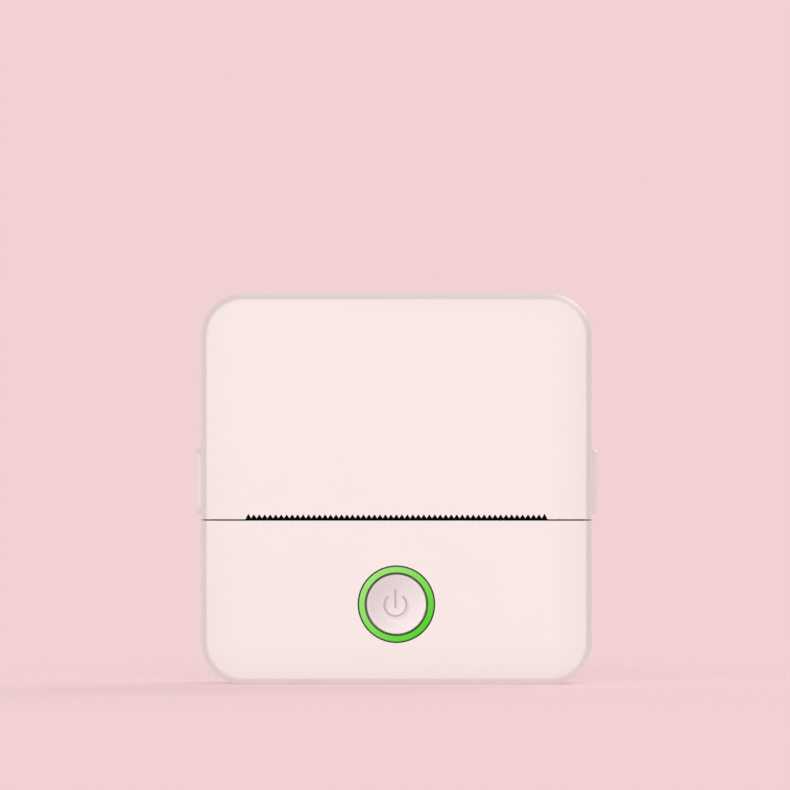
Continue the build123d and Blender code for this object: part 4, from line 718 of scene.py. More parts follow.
def sign_lines(tree, shift, half):
    """1 on the arc and bar of the power sign, moved by shift to the lower right, else 0."""
    middle = RING_CENTRE + Vector((shift, 0.0, -SIGN_DROP - shift))
    across, _, up = split_axes(tree, move_vector(tree, "SUBTRACT", own_coordinates(tree), middle))
    radius = from_point(tree, middle)
    off_arc = calculate(tree, "ABSOLUTE", calculate(tree, "SUBTRACT", radius, SIGN_R))
    below_gap = ramp(tree, calculate(tree, "DIVIDE", up, radius), OPEN_TOP, OPEN_TOP - GAP_SOFT)
    arc = both(tree, ramp(tree, off_arc, half + SOFT, half), below_gap)
    low, high = SIGN_BAR
    length = both(tree, ramp(tree, up, low, low + SOFT), ramp(tree, up, high, high - SOFT))
    off_bar = calculate(tree, "ABSOLUTE", across)
    bar = both(tree, ramp(tree, off_bar, half + SOFT, half), length)
    return calculate(tree, "MAXIMUM", arc, bar)


# %% Ring and cap finishes, with painted shade
# This black is painted on the ring's edges as the shade of the gaps beside it, and is also the dark that the
# ring's own plastic goes towards.
EDGE_BLACK = linear(14, 16, 13)
RING_GLOW = 0.6
RING_DARK = 0.6  # how far the plastic itself goes from its glow's colour to black
CLOUD = 0.06  # how much of the pale green is scattered through the ring


def lit_ring(name, pale_green, deep_green):
    """Clear plastic that glows from one green to another, its edges painted black as gap shade."""
    material, tree = new_material(name)
    tone = mix_colour(tree, diagonal(tree, RING_OUTER), pale_green, deep_green)
    tone = mix_colour(tree, patchy(tree, 1.5 * MM, 0.0, CLOUD), tone, pale_green)
    radius = from_point(tree, RING_CENTRE)
    # painted shade: black bands at the outer and inner edge stand in for the dark gaps beside the ring
    tone = mix_colour(tree, ramp(tree, radius, *OUTER_GAP_SHADE), tone, EDGE_BLACK)
    tone = mix_colour(tree, ramp(tree, radius, *INNER_GAP_SHADE), EDGE_BLACK, tone)
    body = mix_colour(tree, RING_DARK, tone, EDGE_BLACK)
    glow = {"Emission Color": tone, "Emission Strength": RING_GLOW, "Specular IOR Level": 0.1}
    gloss = patchy(tree, 0.9 * MM, 0.2, 0.3)
    dress(tree, body, gloss, noise(tree, 0.2 * MM), 0.002 * MM, glow)
    return material


def dished_cap(name, upper, lower, sign, sign_shadow):
    """Moulded plastic with painted shade: the dish darker at the upper left, and the sunk power sign's
    strokes drawn as a dark painted shadow at their upper left and a paler painted shade at their lower
    right.
    """
    material, tree = new_material(name)
    # painted shade: the dish darker at the upper left and lighter at the lower right
    tone = mix_colour(tree, diagonal(tree, DISH_R), upper, lower)
    # painted shade: the paler line at each stroke's lower right
    tone = mix_colour(tree, sign_lines(tree, SIGN_SHIFT, SIGN_PALE_SHADE_HALF), tone, sign)
    # painted shadow: the dark line at each stroke's upper left
    tone = mix_colour(tree, sign_lines(tree, -SIGN_SHIFT, SIGN_SHADOW_HALF), tone, sign_shadow)
    fine = noise(tree, 0.09 * MM, detail=3.0)
    dress(tree, tone, between(tree, fine, 0.37, 0.47), fine, 0.004 * MM)
    return material


ring_green = lit_ring("ring_lit_green_edge_shade", linear(158, 231, 116), linear(72, 209, 2))
button_pink = dished_cap(
    "button_pink_painted_shade",
    # The two cap colours paint the dish's shade, darker at the upper left, and the two sign colours paint
    # the strokes' pale and dark lines of shade.
    upper=linear(227, 211, 212),
    lower=linear(255, 239, 238),
    sign=linear(238, 222, 221),
    sign_shadow=linear(203, 188, 188),
)
print("ring and cap:", ring_green.name, button_pink.name)

# %% [markdown]
# ## Small parts on their seats
#
# The CAD screws and springs are plain stand-ins at their true places. Here each becomes what it really is.
# A node tree puts one finished part on every seat, so a change to the part shows on all of them. The seats
# are loose points that carry a direction, and they are read from the boxes of the CAD solids, so nothing is
# fitted by eye.

# %% Read the seats from the CAD solids
WELD = 0.001 * MM  # corners closer than this are one corner


def solid_boxes(node):
    """The lowest and highest corners of each separate solid of a node, from left to right."""
    shape = bmesh.new()
    shape.from_mesh(nodes[node].data)
    bmesh.ops.remove_doubles(shape, verts=shape.verts, dist=WELD)
    waiting = set(shape.verts)
    boxes = []
    while waiting:
        to_visit = [waiting.pop()]
        solid = []
        while to_visit:
            point = to_visit.pop()
            solid.append(point.co.copy())
            for link in point.link_edges:
                other = link.other_vert(point)
                if other in waiting:
                    waiting.discard(other)
                    to_visit.append(other)
        low = Vector([min(co[axis] for co in solid) for axis in range(3)])
        high = Vector([max(co[axis] for co in solid) for axis in range(3)])
        boxes.append((low, high))
    shape.free()
    return sorted(boxes, key=lambda box: (round(box[0].x, 4), round(box[0].z, 4)))


def seats(name, places):
    """Loose points that each carry a direction, from pairs of a place and a direction."""
    mesh = bpy.data.meshes.new(name)
    mesh.from_pydata([place for place, way in places], [], [])
    ways = mesh.attributes.new("direction", "FLOAT_VECTOR", "POINT")
    for n, (place, way) in enumerate(places):
        ways.data[n].vector = way
    return mesh


for node in ("case_screws", "liner_screws", "board_screws", "motor_screws", "head_springs"):
    print(node, "has", len(solid_boxes(node)), "solids")

# %% Helpers that build a geometry tree


def new_tree(name, inputs):
    """An empty geometry tree with named inputs, from triples of a name, a socket type and a default."""
    group = bpy.data.node_groups.new(name, "GeometryNodeTree")
    group.is_modifier = True
    group.interface.new_socket("Geometry", in_out="INPUT", socket_type="NodeSocketGeometry")
    for label, kind, default in inputs:
        socket = group.interface.new_socket(label, in_out="INPUT", socket_type="NodeSocket" + kind)
        if default is not None:
            socket.default_value = default
    group.interface.new_socket("Geometry", in_out="OUTPUT", socket_type="NodeSocketGeometry")
    source = group.nodes.new("NodeGroupInput")
    result = group.nodes.new("NodeGroupOutput")
    return group, source.outputs, result


def put_on_seats(group, source, result, part, turn=None):
    """The tail of a tree: a copy of the part on each seat, its Z along the seat's direction, made solid."""
    way = output_of(group, "GeometryNodeInputNamedAttribute", "direction", data_type="FLOAT_VECTOR")
    rotation = output_of(group, "FunctionNodeAlignRotationToVector", axis="Z", inputs={"Vector": way})
    if turn is not None:
        spin = output_of(group, "FunctionNodeAxisAngleToRotation", (0.0, 0.0, 1.0), turn)
        rotation = output_of(group, "FunctionNodeRotateRotation", rotation, spin, rotation_space="LOCAL")
    values = {"Points": source["Geometry"], "Instance": part, "Rotation": rotation}
    copies = output_of(group, "GeometryNodeInstanceOnPoints", inputs=values)
    real = output_of(group, "GeometryNodeRealizeInstances", copies)
    values = {"Geometry": real, "Material": source["Finish"]}
    feed(group, result.inputs["Geometry"], output_of(group, "GeometryNodeSetMaterial", inputs=values))


# %% Helpers that turn trees and shapes into pieces


def settled(carrier):
    """The plain mesh of an object with its modifiers done. The object is removed."""
    now = bpy.context.evaluated_depsgraph_get()
    mesh = bpy.data.meshes.new_from_object(carrier.evaluated_get(now))
    bpy.data.objects.remove(carrier)
    return mesh


def grow(name, group, values, mesh):
    """The plain mesh that a tree grows on a carrier mesh with the given input values."""
    carrier = add_object(name, mesh)
    modifier = carrier.modifiers.new("grow", "NODES")
    modifier.node_group = group
    for socket in group.interface.items_tree:
        if socket.in_out == "INPUT" and socket.name in values:
            modifier[socket.identifier] = values[socket.name]
    carrier.update_tag()
    return settled(carrier)


def mesh_of(shape, name):
    """The plain mesh of a shape that was edited. The shape is freed."""
    mesh = bpy.data.meshes.new(name)
    shape.to_mesh(mesh)
    shape.free()
    return mesh


def closed_mesh(shape, name):
    """The plain mesh of a closed shape, its faces turned outwards."""
    bmesh.ops.recalc_face_normals(shape, faces=shape.faces)
    return mesh_of(shape, name)


def add_piece(name, meshes, body, replaced=None, sharp=35):
    """One object at the origin from one or more meshes, riding on a body."""
    shape = bmesh.new()
    finish = meshes[0].materials[0]
    for mesh in meshes:
        shape.from_mesh(mesh)
        bpy.data.meshes.remove(mesh)
    joined = mesh_of(shape, name)
    joined.materials.append(finish)
    joined.shade_smooth()
    joined.set_sharp_from_angle(angle=math.radians(sharp))
    piece = add_object(name, joined)
    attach(piece, body)
    if replaced:
        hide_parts(replaced)
    print(name, "faces", len(joined.polygons))
    return piece


# %% [markdown]
# ## Screws
#
# The casing, the liner, the board and the motor are held by pan-head screws with a cross recess and a
# rolled thread. The shank and head are rings of points round the axis. Along the thread each point moves
# out and in with its height and its angle, which makes the helix. A Boolean then takes a tapered cross out
# of the head. The seating tree sets each screw at its own seeded angle, as a screwdriver leaves them.

# %% Turned bodies
SCREW_SIDES = 32


def ringed(name, loops, poles):
    """A closed mesh through equal rings of points, with a fan to a pole at each end."""
    shape = bmesh.new()
    rings = [[shape.verts.new(point) for point in loop] for loop in loops]
    pairs = [(n, (n + 1) % len(loops[0])) for n in range(len(loops[0]))]
    for low, high in zip(rings, rings[1:]):
        for n, m in pairs:
            shape.faces.new((low[n], low[m], high[m], high[n]))
    for ring, pole in zip((rings[0], rings[-1]), poles):
        middle = shape.verts.new(pole)
        for n, m in pairs:
            shape.faces.new((ring[n], ring[m], middle))
    return closed_mesh(shape, name)


def turned(name, rings, sides=SCREW_SIDES):
    """A body round Z from a height and a radius rule for each ring, closed at both ends."""
    angles = [2 * math.pi * n / sides for n in range(sides)]
    loops = []
    for height, rule in rings:
        loops.append([(rule(a) * math.cos(a), rule(a) * math.sin(a), height) for a in angles])
    return ringed(name, loops, [(0.0, 0.0, rings[0][0]), (0.0, 0.0, rings[-1][0])])


# %% The shape of a screw
TIP = ((0.0, 0.45), (0.4, 0.82))  # heights over the tip's end and radii there, in radii of the shank
THREAD_START = 0.5  # the thread's start over the tip's end, in radii of the shank
THREAD_DEPTH = 0.16  # in radii of the shank
THREAD_RINGS = 6  # rings to a turn of the thread
THREAD_FADE = 4  # rings over which the thread comes in and runs out
HEAD_BASE = 0.94  # radius of the head's underside, in radii of the head
HEAD_EDGE = 0.06  # the widest place's height, in heights of the head
CROWN_START, CROWN_SPAN = 0.42, 0.58  # where the head's side bends in, in heights of the head
CROWN_RINGS = (0.42, 0.62, 0.78, 0.9, 0.97)
HEAD_TOP, HEAD_ROUND = 0.62, 0.38  # radius at the top and what the crown's curve adds below it
HEAD_FLAT = 0.6
SHANK_SHARE = 0.52  # radius of the shank, in radii of the head


def thread_rule(height, radius, pitch, fade):
    """The radius round one ring of a rolled thread."""

    def rule(angle):
        wave = (height / pitch - angle / (2 * math.pi)) % 1.0
        tooth = 1 - abs(2 * wave - 1)
        return radius * (1 - THREAD_DEPTH * fade * (1 - tooth))

    return rule


def screw_rings(radius, length, threaded, pitch, head_radius, head_height):
    """The rings of a pan-head screw from its tip up, its seat at height 0."""

    def level(value):
        return lambda angle: value

    rings = [(-length + radius * rise, level(radius * share)) for rise, share in TIP]
    steps = int((threaded - radius * THREAD_START) / (pitch / THREAD_RINGS))
    for n in range(steps):
        height = -length + radius * THREAD_START + n * pitch / THREAD_RINGS
        fade = min(1.0, n / THREAD_FADE, (steps - 1 - n) / THREAD_FADE)
        rings.append((height, thread_rule(height, radius, pitch, fade)))
    rings += [(0.0, level(radius)), (0.0, level(head_radius * HEAD_BASE))]
    rings.append((head_height * HEAD_EDGE, level(head_radius)))
    for part in CROWN_RINGS:
        curve = math.sqrt(max(0.0, 1 - ((part - CROWN_START) / CROWN_SPAN) ** 2))
        rings.append((head_height * part, level(head_radius * (HEAD_TOP + HEAD_ROUND * curve))))
    rings.append((head_height, level(head_radius * HEAD_FLAT)))
    return rings


# %% The cross recess and the finished screw
CROSS_HALF = (0.56, 0.13)  # half the cross's length and width at its top, in radii of the head
CROSS_HEIGHTS = (1.2, 0.35)  # the cutter's top and bottom, in heights of the head
CROSS_TAPER = 0.45  # the cross's length at its bottom, as a share of that at its top


def cross_cutter(half_length, half_width, top, bottom):
    """A tapered cross for the recess of a screw's head."""
    shape = bmesh.new()
    layers = []
    for height, grow_by in ((top, 1.0), (bottom, CROSS_TAPER)):
        tip = half_length * grow_by
        points = []
        for quarter in range(4):
            turn = Matrix.Rotation(math.pi / 2 * quarter, 2)
            for flat in ((tip, -half_width), (tip, half_width), (half_width, half_width)):
                points.append(shape.verts.new((*(turn @ Vector(flat)), height)))
        layers.append(points)
    upper, lower = layers
    for n in range(12):
        m = (n + 1) % 12
        shape.faces.new((upper[n], upper[m], lower[m], lower[n]))
    for points in layers:
        shape.faces.new([points[n] for n in (2, 5, 8, 11)])
        for first in (0, 3, 6, 9):
            shape.faces.new([points[n % 12] for n in (first - 1, first, first + 1, first + 2)])
    return closed_mesh(shape, "cross_cutter")


def screw_part(name, radius, length, threaded, pitch, head_radius, head_height):
    """One screw with its cross recess, as a part to be copied."""
    rings = screw_rings(radius, length, threaded, pitch, head_radius, head_height)
    blank = add_object(name, turned(name, rings))
    half_length, half_width = (head_radius * share for share in CROSS_HALF)
    top, bottom = (head_height * share for share in CROSS_HEIGHTS)
    cutter = add_object("cross_cutter", cross_cutter(half_length, half_width, top, bottom))
    cut = blank.modifiers.new("recess", "BOOLEAN")
    cut.object = cutter
    cut.solver = "EXACT"
    mesh = settled(blank)
    bpy.data.objects.remove(cutter)
    return add_object(name, mesh)


def part_tree():
    """Puts a copy of a part on each seat, turned by a seeded angle up to a limit."""
    inputs = [
        ("Part", "Object", None),
        ("Largest turn", "Float", 0.0),
        ("Seed", "Int", 1),
        ("Finish", "Material", None),
    ]
    group, source, result = new_tree("part_on_each_seat", inputs)
    part = add_node(group, "GeometryNodeObjectInfo", inputs={"Object": source["Part"]})
    seed = {"Seed": source["Seed"]}
    angle = add_node(group, "FunctionNodeRandomValue", data_type="FLOAT", inputs=seed)
    feed(group, angle.inputs[3], source["Largest turn"])
    put_on_seats(group, source, result, part.outputs["Geometry"], turn=angle.outputs[1])
    return group


part_on_each_seat = part_tree()
print("tree:", part_on_each_seat.name)

# %% Replace the CAD screws
SMALL_SCREW = {"head": 1.1 * MM, "pitch": 0.6 * MM}
SCREW_SETS = {
    "case_screws": {
        "way": (0, 1, 0), "body": "case", "head": 1.4 * MM, "pitch": 0.8 * MM, "threaded": 7.5 * MM
    },
    "liner_screws": {"way": (0, 1, 0), "body": "cover", "threaded": 3.8 * MM, **SMALL_SCREW},
    "board_screws": {"way": (0, -1, 0), "body": "case", "threaded": 4.6 * MM, **SMALL_SCREW},
    "motor_screws": {"way": (1, 0, 0), "body": "case", "threaded": 2.8 * MM, **SMALL_SCREW},
}


def replace_screws(node, way, body, head, pitch, threaded):
    """Real screws in place of a node's plain ones, a part for each length."""
    axis = [abs(v) for v in way].index(1)
    across = (axis + 1) % 3
    by_length = {}
    for low, high in solid_boxes(node):
        size = high - low
        end = high if way[axis] > 0 else low
        seat = (low + high) / 2
        seat[axis] = end[axis] - way[axis] * head
        by_length.setdefault(round((size[axis] - head) / MM, 2), []).append((seat, size[across] / 2))
    meshes = []
    for length, found in sorted(by_length.items()):
        head_radius = found[0][1]
        part = screw_part(node, head_radius * SHANK_SHARE, length * MM, threaded, pitch, head_radius, head)
        places = seats(node + "_seats", [(seat, way) for seat, radius in found])
        values = {"Part": part, "Largest turn": math.pi / 2, "Seed": len(node), "Finish": black_zinc}
        meshes.append(grow(node, part_on_each_seat, values, places))
        bpy.data.objects.remove(part)
    add_piece("threaded_" + node, meshes, body, replaced=node)


for node, values in SCREW_SETS.items():
    replace_screws(node, **values)

# %% [markdown]
# ## Coil springs
#
# Four compression springs of hard drawn wire: two lift the print head, and one pushes out each side button.
# A real one has its end turns closed flat so that it stands square. A spiral curve gives the turns, its
# height is held level over the end turns, and a round profile is swept along it.

# %% Coil spring tree
COIL_STEPS = 28  # points to a turn
WIRE_SIDES = 14


def coil_tree():
    """A compression spring with closed end turns on each seat, standing along the seat's direction."""
    inputs = [
        ("Coil radius", "Float", 2.0 * MM),
        ("Wire radius", "Float", 0.2 * MM),
        ("Turns", "Float", 5.0),
        ("Length", "Float", 4.0 * MM),
        ("Closed turns", "Float", 0.75),
        ("Finish", "Material", None),
    ]
    group, source, result = new_tree("coil_spring", inputs)
    coil, wire = source["Coil radius"], source["Wire radius"]
    turns = {"Resolution": COIL_STEPS, "Rotations": source["Turns"], "Height": 1.0}
    radii = {"Start Radius": coil, "End Radius": coil}
    spiral = output_of(group, "GeometryNodeCurveSpiral", inputs={**turns, **radii})
    across, along, up = split_axes(group, output_of(group, "GeometryNodeInputPosition"))
    closed = calculate(group, "DIVIDE", source["Closed turns"], source["Turns"])
    closed_above = calculate(group, "SUBTRACT", 1.0, closed)
    top = calculate(group, "SUBTRACT", source["Length"], wire)
    climb = ramp(group, up, closed, closed_above, wire, top)
    stand = output_of(group, "ShaderNodeCombineXYZ", across, along, climb)
    path = output_of(group, "GeometryNodeSetPosition", inputs={"Geometry": spiral, "Position": stand})
    circle = {"Resolution": WIRE_SIDES, "Radius": wire}
    profile = output_of(group, "GeometryNodeCurvePrimitiveCircle", inputs=circle)
    swept = {"Curve": path, "Profile Curve": profile, "Fill Caps": True}
    put_on_seats(group, source, result, output_of(group, "GeometryNodeCurveToMesh", inputs=swept))
    return group


coil_spring = coil_tree()
print("tree:", coil_spring.name)

# %% Replace the CAD springs
WIRE_RADIUS = 0.2 * MM
HEAD_TURNS = 5.0
RELEASE_TURNS = 7.0


def springs(name, node, axis, side, body, turns):
    """Closed coil springs in place of a node's plain ones, standing on the side they push from."""
    places = []
    for low, high in solid_boxes(node):
        foot = (low + high) / 2
        foot[axis] = low[axis] if side > 0 else high[axis]
        way = Vector((0.0, 0.0, 0.0))
        way[axis] = side
        places.append((foot, way))
    size = high - low
    outer = size[(axis + 1) % 3] / 2
    values = {
        "Coil radius": outer - WIRE_RADIUS,
        "Wire radius": WIRE_RADIUS,
        "Turns": turns,
        "Length": size[axis],
        "Finish": spring_steel,
    }
    mesh = grow(name, coil_spring, values, seats(name + "_seats", places))
    piece = add_piece(name, [mesh], body, replaced=node, sharp=60)
    return piece, places[0][0]


head_pair, foot = springs("head_coil_springs", "head_springs", Z, 1, "case", HEAD_TURNS)
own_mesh(head_pair)
for side, hand in ((-1, "left"), (1, "right")):
    coil, foot = springs(hand + "_coil_spring", "release_spring_" + hand, X, side, "case", RELEASE_TURNS)
    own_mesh(coil)

# %% [markdown]
# ## Charging socket contacts
#
# Inside the steel shell of the socket a tongue carries two rows of twelve gold-plated contacts, half a
# millimetre apart. The same seating tree lays one bevelled pad on each place, on both faces of the tongue.

# %% Helpers that lay small parts


def slabs(name, size, soften, offsets=(0.0,)):
    """Bevelled blocks of one size that lie on the ground plane, moved along X, as a part to be copied."""
    shape = bmesh.new()
    for offset in offsets:
        for point in bmesh.ops.create_cube(shape, size=1.0)["verts"]:
            x, y, z = point.co
            point.co = Vector((x * size[0] + offset, y * size[1], (z + 0.5) * size[2]))
    bmesh.ops.bevel(shape, geom=shape.edges[:], offset=soften, segments=2, affect="EDGES")
    return add_object(name, closed_mesh(shape, name))


def lay(name, part, places, finish):
    """A mesh with one unturned copy of a part on each place. The part is removed."""
    values = {"Part": part, "Largest turn": 0.0, "Seed": 1, "Finish": finish}
    mesh = grow(name, part_on_each_seat, values, seats(name + "_seats", places))
    bpy.data.objects.remove(part)
    return mesh


# %% Lay the contacts
PAD_PITCH = 0.5 * MM
PAD_COUNT = 12
PAD_SIZE = (2.4 * MM, 0.3 * MM, 0.08 * MM)
PAD_SINK = 0.02 * MM
PAD_INSET = 1.2 * MM  # from the socket's mouth
TONGUE_HALF = 0.35 * MM

socket_low, socket_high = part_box("usb_socket")
socket_centre = (socket_low + socket_high) / 2
contact_x = socket_high.x - PAD_INSET - PAD_SIZE[0] / 2
places = []
for face in (-1, 1):
    y = socket_centre.y + face * (TONGUE_HALF - PAD_SINK)
    for n in range(PAD_COUNT):
        z = socket_centre.z + (n - (PAD_COUNT - 1) / 2) * PAD_PITCH
        places.append((Vector((contact_x, y, z)), (0, face, 0)))
pad = slabs("contact_pad", PAD_SIZE, soften=0.02 * MM)
add_piece("socket_contacts", [lay("socket_contacts", pad, places, gold_contact)], "case")

# %% [markdown]
# ## Small chips on the board
#
# Between its large parts the back of the board is set with resistors and capacitors a millimetre long, each
# with a tinned end at both sides. A seeded draw keeps about half of the places of an even grid, and leaves
# out every place that a larger part or a screw needs, and the narrow ends of the board past its screws. The
# bodies and the tinned ends are laid by the same tree.

# %% Find the free places on the board
GRID_X = 2.1 * MM
GRID_Z = 1.5 * MM
CHIP_SHARE = 0.5
CHIP_SEED = 20
PART_ROOM = 1.0 * MM  # kept free round a larger part
SCREW_ROOM = 2.4 * MM
BIG_PARTS = (
    "control_module",
    "board_parts",
    "head_connector",
    "battery_connector",
    "motor_connector",
    "usb_socket",
)
board_low, board_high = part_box("main_board")


def is_free(x, z, boxes, room):
    """True where a place on the board is clear of every box by some room."""
    for low, high in boxes:
        if low.x - room < x < high.x + room and low.z - room < z < high.z + room:
            return False
    return True


big_boxes = [box for node in BIG_PARTS for box in solid_boxes(node)]
screw_boxes = solid_boxes("board_screws")
# past its screws the board is only as wide as the socket
CHIP_REACH = max(high.x for low, high in screw_boxes)
draw = random.Random(CHIP_SEED)
chip_places = []
for column in range(int((board_high.x - board_low.x) / GRID_X) - 2):
    for row in range(int((board_high.z - board_low.z) / GRID_Z) - 1):
        x = board_low.x + (column + 1.5) * GRID_X
        z = board_low.z + (row + 1.0) * GRID_Z
        free = is_free(x, z, big_boxes, PART_ROOM) and is_free(x, z, screw_boxes, SCREW_ROOM)
        if free and abs(x) <= CHIP_REACH and draw.random() < CHIP_SHARE:
            chip_places.append((Vector((x, board_high.y, z)), (0, 1, 0)))
print("chips", len(chip_places))

# %% Lay the chips
CHIP = (1.0 * MM, 0.5 * MM, 0.35 * MM)
CHIP_END = 0.22 * MM
body_size = (CHIP[0] - 2 * CHIP_END, CHIP[1], CHIP[2])
end_size = (CHIP_END, CHIP[1] * 1.02, CHIP[2] * 1.04)  # the tin stands a little proud of the body
end_x = (CHIP[0] - CHIP_END) / 2
resistors = slabs("resistor_body", body_size, soften=0.02 * MM)
capacitors = slabs("capacitor_body", body_size, soften=0.04 * MM)
ends = slabs("tinned_ends", end_size, soften=0.03 * MM, offsets=(-end_x, end_x))
resistor_mesh = lay("resistors", resistors, chip_places[::2], part_black)
capacitor_mesh = lay("capacitors", capacitors, chip_places[1::2], ceramic_tan)
end_mesh = lay("chip_ends", ends, chip_places, tin_solder)
add_piece("board_resistors", [resistor_mesh], "case")
add_piece("board_capacitors", [capacitor_mesh], "case")
add_piece("board_chip_ends", [end_mesh], "case")

# %% [markdown]
# ## The cell
#
# The battery is a lithium polymer pouch: a foil bag, slightly swollen, whose side seams are folded up along
# its sides, with a sealed strip at the top from which the two leads come. A superellipsoid gives the
# swollen bag from one formula, and the folded seams and the top strip are thin bevelled plates on it.

# %% Make the pouch
POUCH_POWER = 7.0
POUCH_SWELL = 3.6
POUCH_COLUMNS = 56
POUCH_ROWS = 40
SEAM = 0.35 * MM  # thickness of a folded seam
SEAM_SHARES = (1.8, 1.3)  # a seam's length in half heights of the bag, its width in half thicknesses
SEAM_INSET = 1.4  # in thicknesses of the seam
STRIP = 2.6 * MM  # height of the sealed strip
STRIP_THICK = 1.0 * MM
STRIP_SHARES = (1.84, 1.3)  # its length in half widths of the bag, its height with the part inside the bag
cell_low, cell_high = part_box("battery_cell")
cell_centre = (cell_low + cell_high) / 2
cell_half = (cell_high - cell_low) / 2


def signed_power(value, power):
    """A power that keeps the value's sign."""
    return math.copysign(abs(value) ** power, value)


def pouch_bag(centre, half):
    """A closed swollen bag, square with soft edges along X and Z and rounder through its thickness."""
    loops = []
    for row in range(1, POUCH_ROWS):
        up = math.pi * (row / POUCH_ROWS - 0.5)
        wide = abs(math.cos(up)) ** (2 / POUCH_SWELL)
        y = centre.y + half.y * signed_power(math.sin(up), 2 / POUCH_SWELL)
        loop = []
        for column in range(POUCH_COLUMNS):
            turn = 2 * math.pi * column / POUCH_COLUMNS
            x = centre.x + half.x * wide * signed_power(math.cos(turn), 2 / POUCH_POWER)
            z = centre.z + half.z * wide * signed_power(math.sin(turn), 2 / POUCH_POWER)
            loop.append((x, y, z))
        loops.append(loop)
    poles = [(centre.x, centre.y + side * half.y, centre.z) for side in (-1, 1)]
    mesh = ringed("pouch_bag", loops, poles)
    mesh.materials.append(cell_foil)
    return mesh


bag_centre = cell_centre - Vector((0.0, 0.0, STRIP / 2))
bag_half = cell_half - Vector((SEAM, 0.0, STRIP / 2))
seam_size = (bag_half.z * SEAM_SHARES[0], cell_half.y * SEAM_SHARES[1], SEAM)
seam_x = cell_half.x - SEAM_INSET * SEAM
sides = [(cell_centre + Vector((s * seam_x, 0.0, -STRIP / 2)), (s, 0, 0)) for s in (-1, 1)]
strip_height = STRIP * STRIP_SHARES[1]
strip_size = (bag_half.x * STRIP_SHARES[0], STRIP_THICK, strip_height)
top_place = [(Vector((cell_centre.x, cell_centre.y, cell_high.z - strip_height)), (0, 0, 1))]
seam = slabs("side_seam", seam_size, soften=0.1 * MM)
strip = slabs("top_strip", strip_size, soften=0.12 * MM)
pouch = [
    pouch_bag(bag_centre, bag_half),
    lay("seams", seam, sides, cell_foil),
    lay("strip", strip, top_place, cell_foil),
]
add_piece("cell_pouch", pouch, "case", replaced="battery_cell", sharp=50)

# %% [markdown]
# ## Sensor lenses
#
# The paper sensor shines infrared light at the paper and looks for its reflection. Two smoky lenses show in
# the tray's window. Each is a low dome, turned round its axis and laid on the sensor's front by the seating
# tree.

# %% Lay the lenses
LENS_R = 0.62 * MM
LENS_RISE = 0.28 * MM
LENS_SINK = 0.05 * MM
LENS_X = 1.0 * MM
LENS_SIDES = 24
sensor_low, sensor_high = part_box("paper_sensor")
sensor_z = (sensor_low.z + sensor_high.z) / 2


def dome_rings(radius, rise, steps=6):
    """The rings of a low dome that starts a little under its seat and rises in steps."""
    rings = [(-LENS_SINK, lambda angle: radius)]
    for n in range(steps):
        lift = math.sin(math.pi / 2 * n / steps)
        rings.append((rise * lift, lambda angle, lift=lift: radius * math.sqrt(1 - lift * lift)))
    return rings


lens = add_object("lens", turned("lens", dome_rings(LENS_R, LENS_RISE), sides=LENS_SIDES))
spots = [(Vector((s * LENS_X, sensor_low.y, sensor_z)), (0, -1, 0)) for s in (-1, 1)]
add_piece("sensor_lenses", [lay("lenses", lens, spots, lens_smoke)], "case")

# %% [markdown]
# ## Smooth curves on the CAD pieces
#
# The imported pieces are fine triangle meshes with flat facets. A small node tree joins their corners and
# shades across every edge that turns by less than 30 degrees, so curves look round and real edges stay
# sharp.

# %% Shade the CAD pieces
SMOOTH_BELOW = math.radians(30)


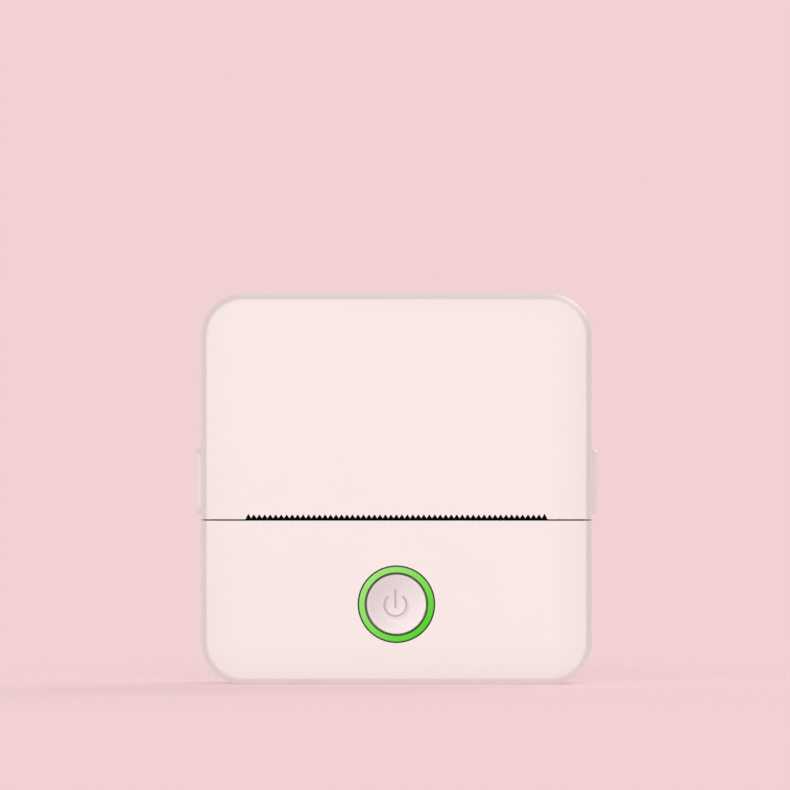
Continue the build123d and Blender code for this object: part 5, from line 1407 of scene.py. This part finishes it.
def smoothing_tree():
    """Joins loose corners and shades smooth across gentle edges."""
    group, source, result = new_tree("join_and_smooth", [("Smooth below", "Float", SMOOTH_BELOW)])
    corners = {"Geometry": source["Geometry"], "Distance": WELD}
    joined = output_of(group, "GeometryNodeMergeByDistance", inputs=corners)
    angle = add_node(group, "GeometryNodeInputMeshEdgeAngle").outputs["Unsigned Angle"]
    compare = {"data_type": "FLOAT", "operation": "LESS_EQUAL"}
    gentle = output_of(group, "FunctionNodeCompare", angle, source["Smooth below"], **compare)
    edges = {"Geometry": joined, "Shade Smooth": gentle}
    soft_edges = output_of(group, "GeometryNodeSetShadeSmooth", domain="EDGE", inputs=edges)
    soft_faces = output_of(group, "GeometryNodeSetShadeSmooth", soft_edges, domain="FACE")
    feed(group, result.inputs["Geometry"], soft_faces)
    return group


smoothing = smoothing_tree()
FINISHES = {
    shell_pink: ["rear_shell", "front_panel", "top_cover"],
    button_pink: ["power_button"],
    release_pink: ["release_button_left", "release_button_right"],
    tear_black: ["tear_strip"],
    liner_grey: ["cover_liner"],
    frame_black: ["mech_frame"],
    tray_grey: ["paper_tray"],
    sensor_black: ["paper_sensor"],
    platen_black: ["platen_rubber"],
    gear_white: ["platen_gear", "idler_gear", "reduction_gear"],
    turned_steel: ["platen_shaft", "hinge_pins", "gear_pins", "motor_shaft"],
    machined_brass: ["platen_bushing_left", "platen_bushing_right", "motor_pinion"],
    drawn_steel: ["motor_can", "motor_flange"],
    spring_steel: ["gear_clips", "head_springs", "release_spring_left", "release_spring_right"],
    black_zinc: ["case_screws", "liner_screws", "board_screws", "motor_screws"],
    etched_aluminium: ["head_heat_sink"],
    ceramic_head: ["head_substrate"],
    resin_black: ["head_driver_cover"],
    cable_amber: ["head_cable"],
    board_green: ["main_board"],
    part_black: ["board_parts", "head_connector", "tact_switch", "switch_plunger"],
    tinned_lid: ["control_module", "usb_socket"],
    nylon_white: ["battery_connector", "motor_connector"],
    cell_foil: ["battery_cell"],
    tape_grey: ["battery_tape"],
    lead_red: ["battery_leads"],
    lead_grey: ["motor_leads"],
    ring_green: ["light_ring"],
    lamp_clear: ["status_leds"],
}
for material, names in FINISHES.items():
    for name in names:
        piece = nodes[name]
        piece.data.materials.clear()
        piece.data.materials.append(material)
        modifier = piece.modifiers.new("join_and_smooth", "NODES")
        modifier.node_group = smoothing
finished = {name for names in FINISHES.values() for name in names}
print("finished", len(finished), "of", len(nodes), "left:", sorted(set(nodes) - finished))
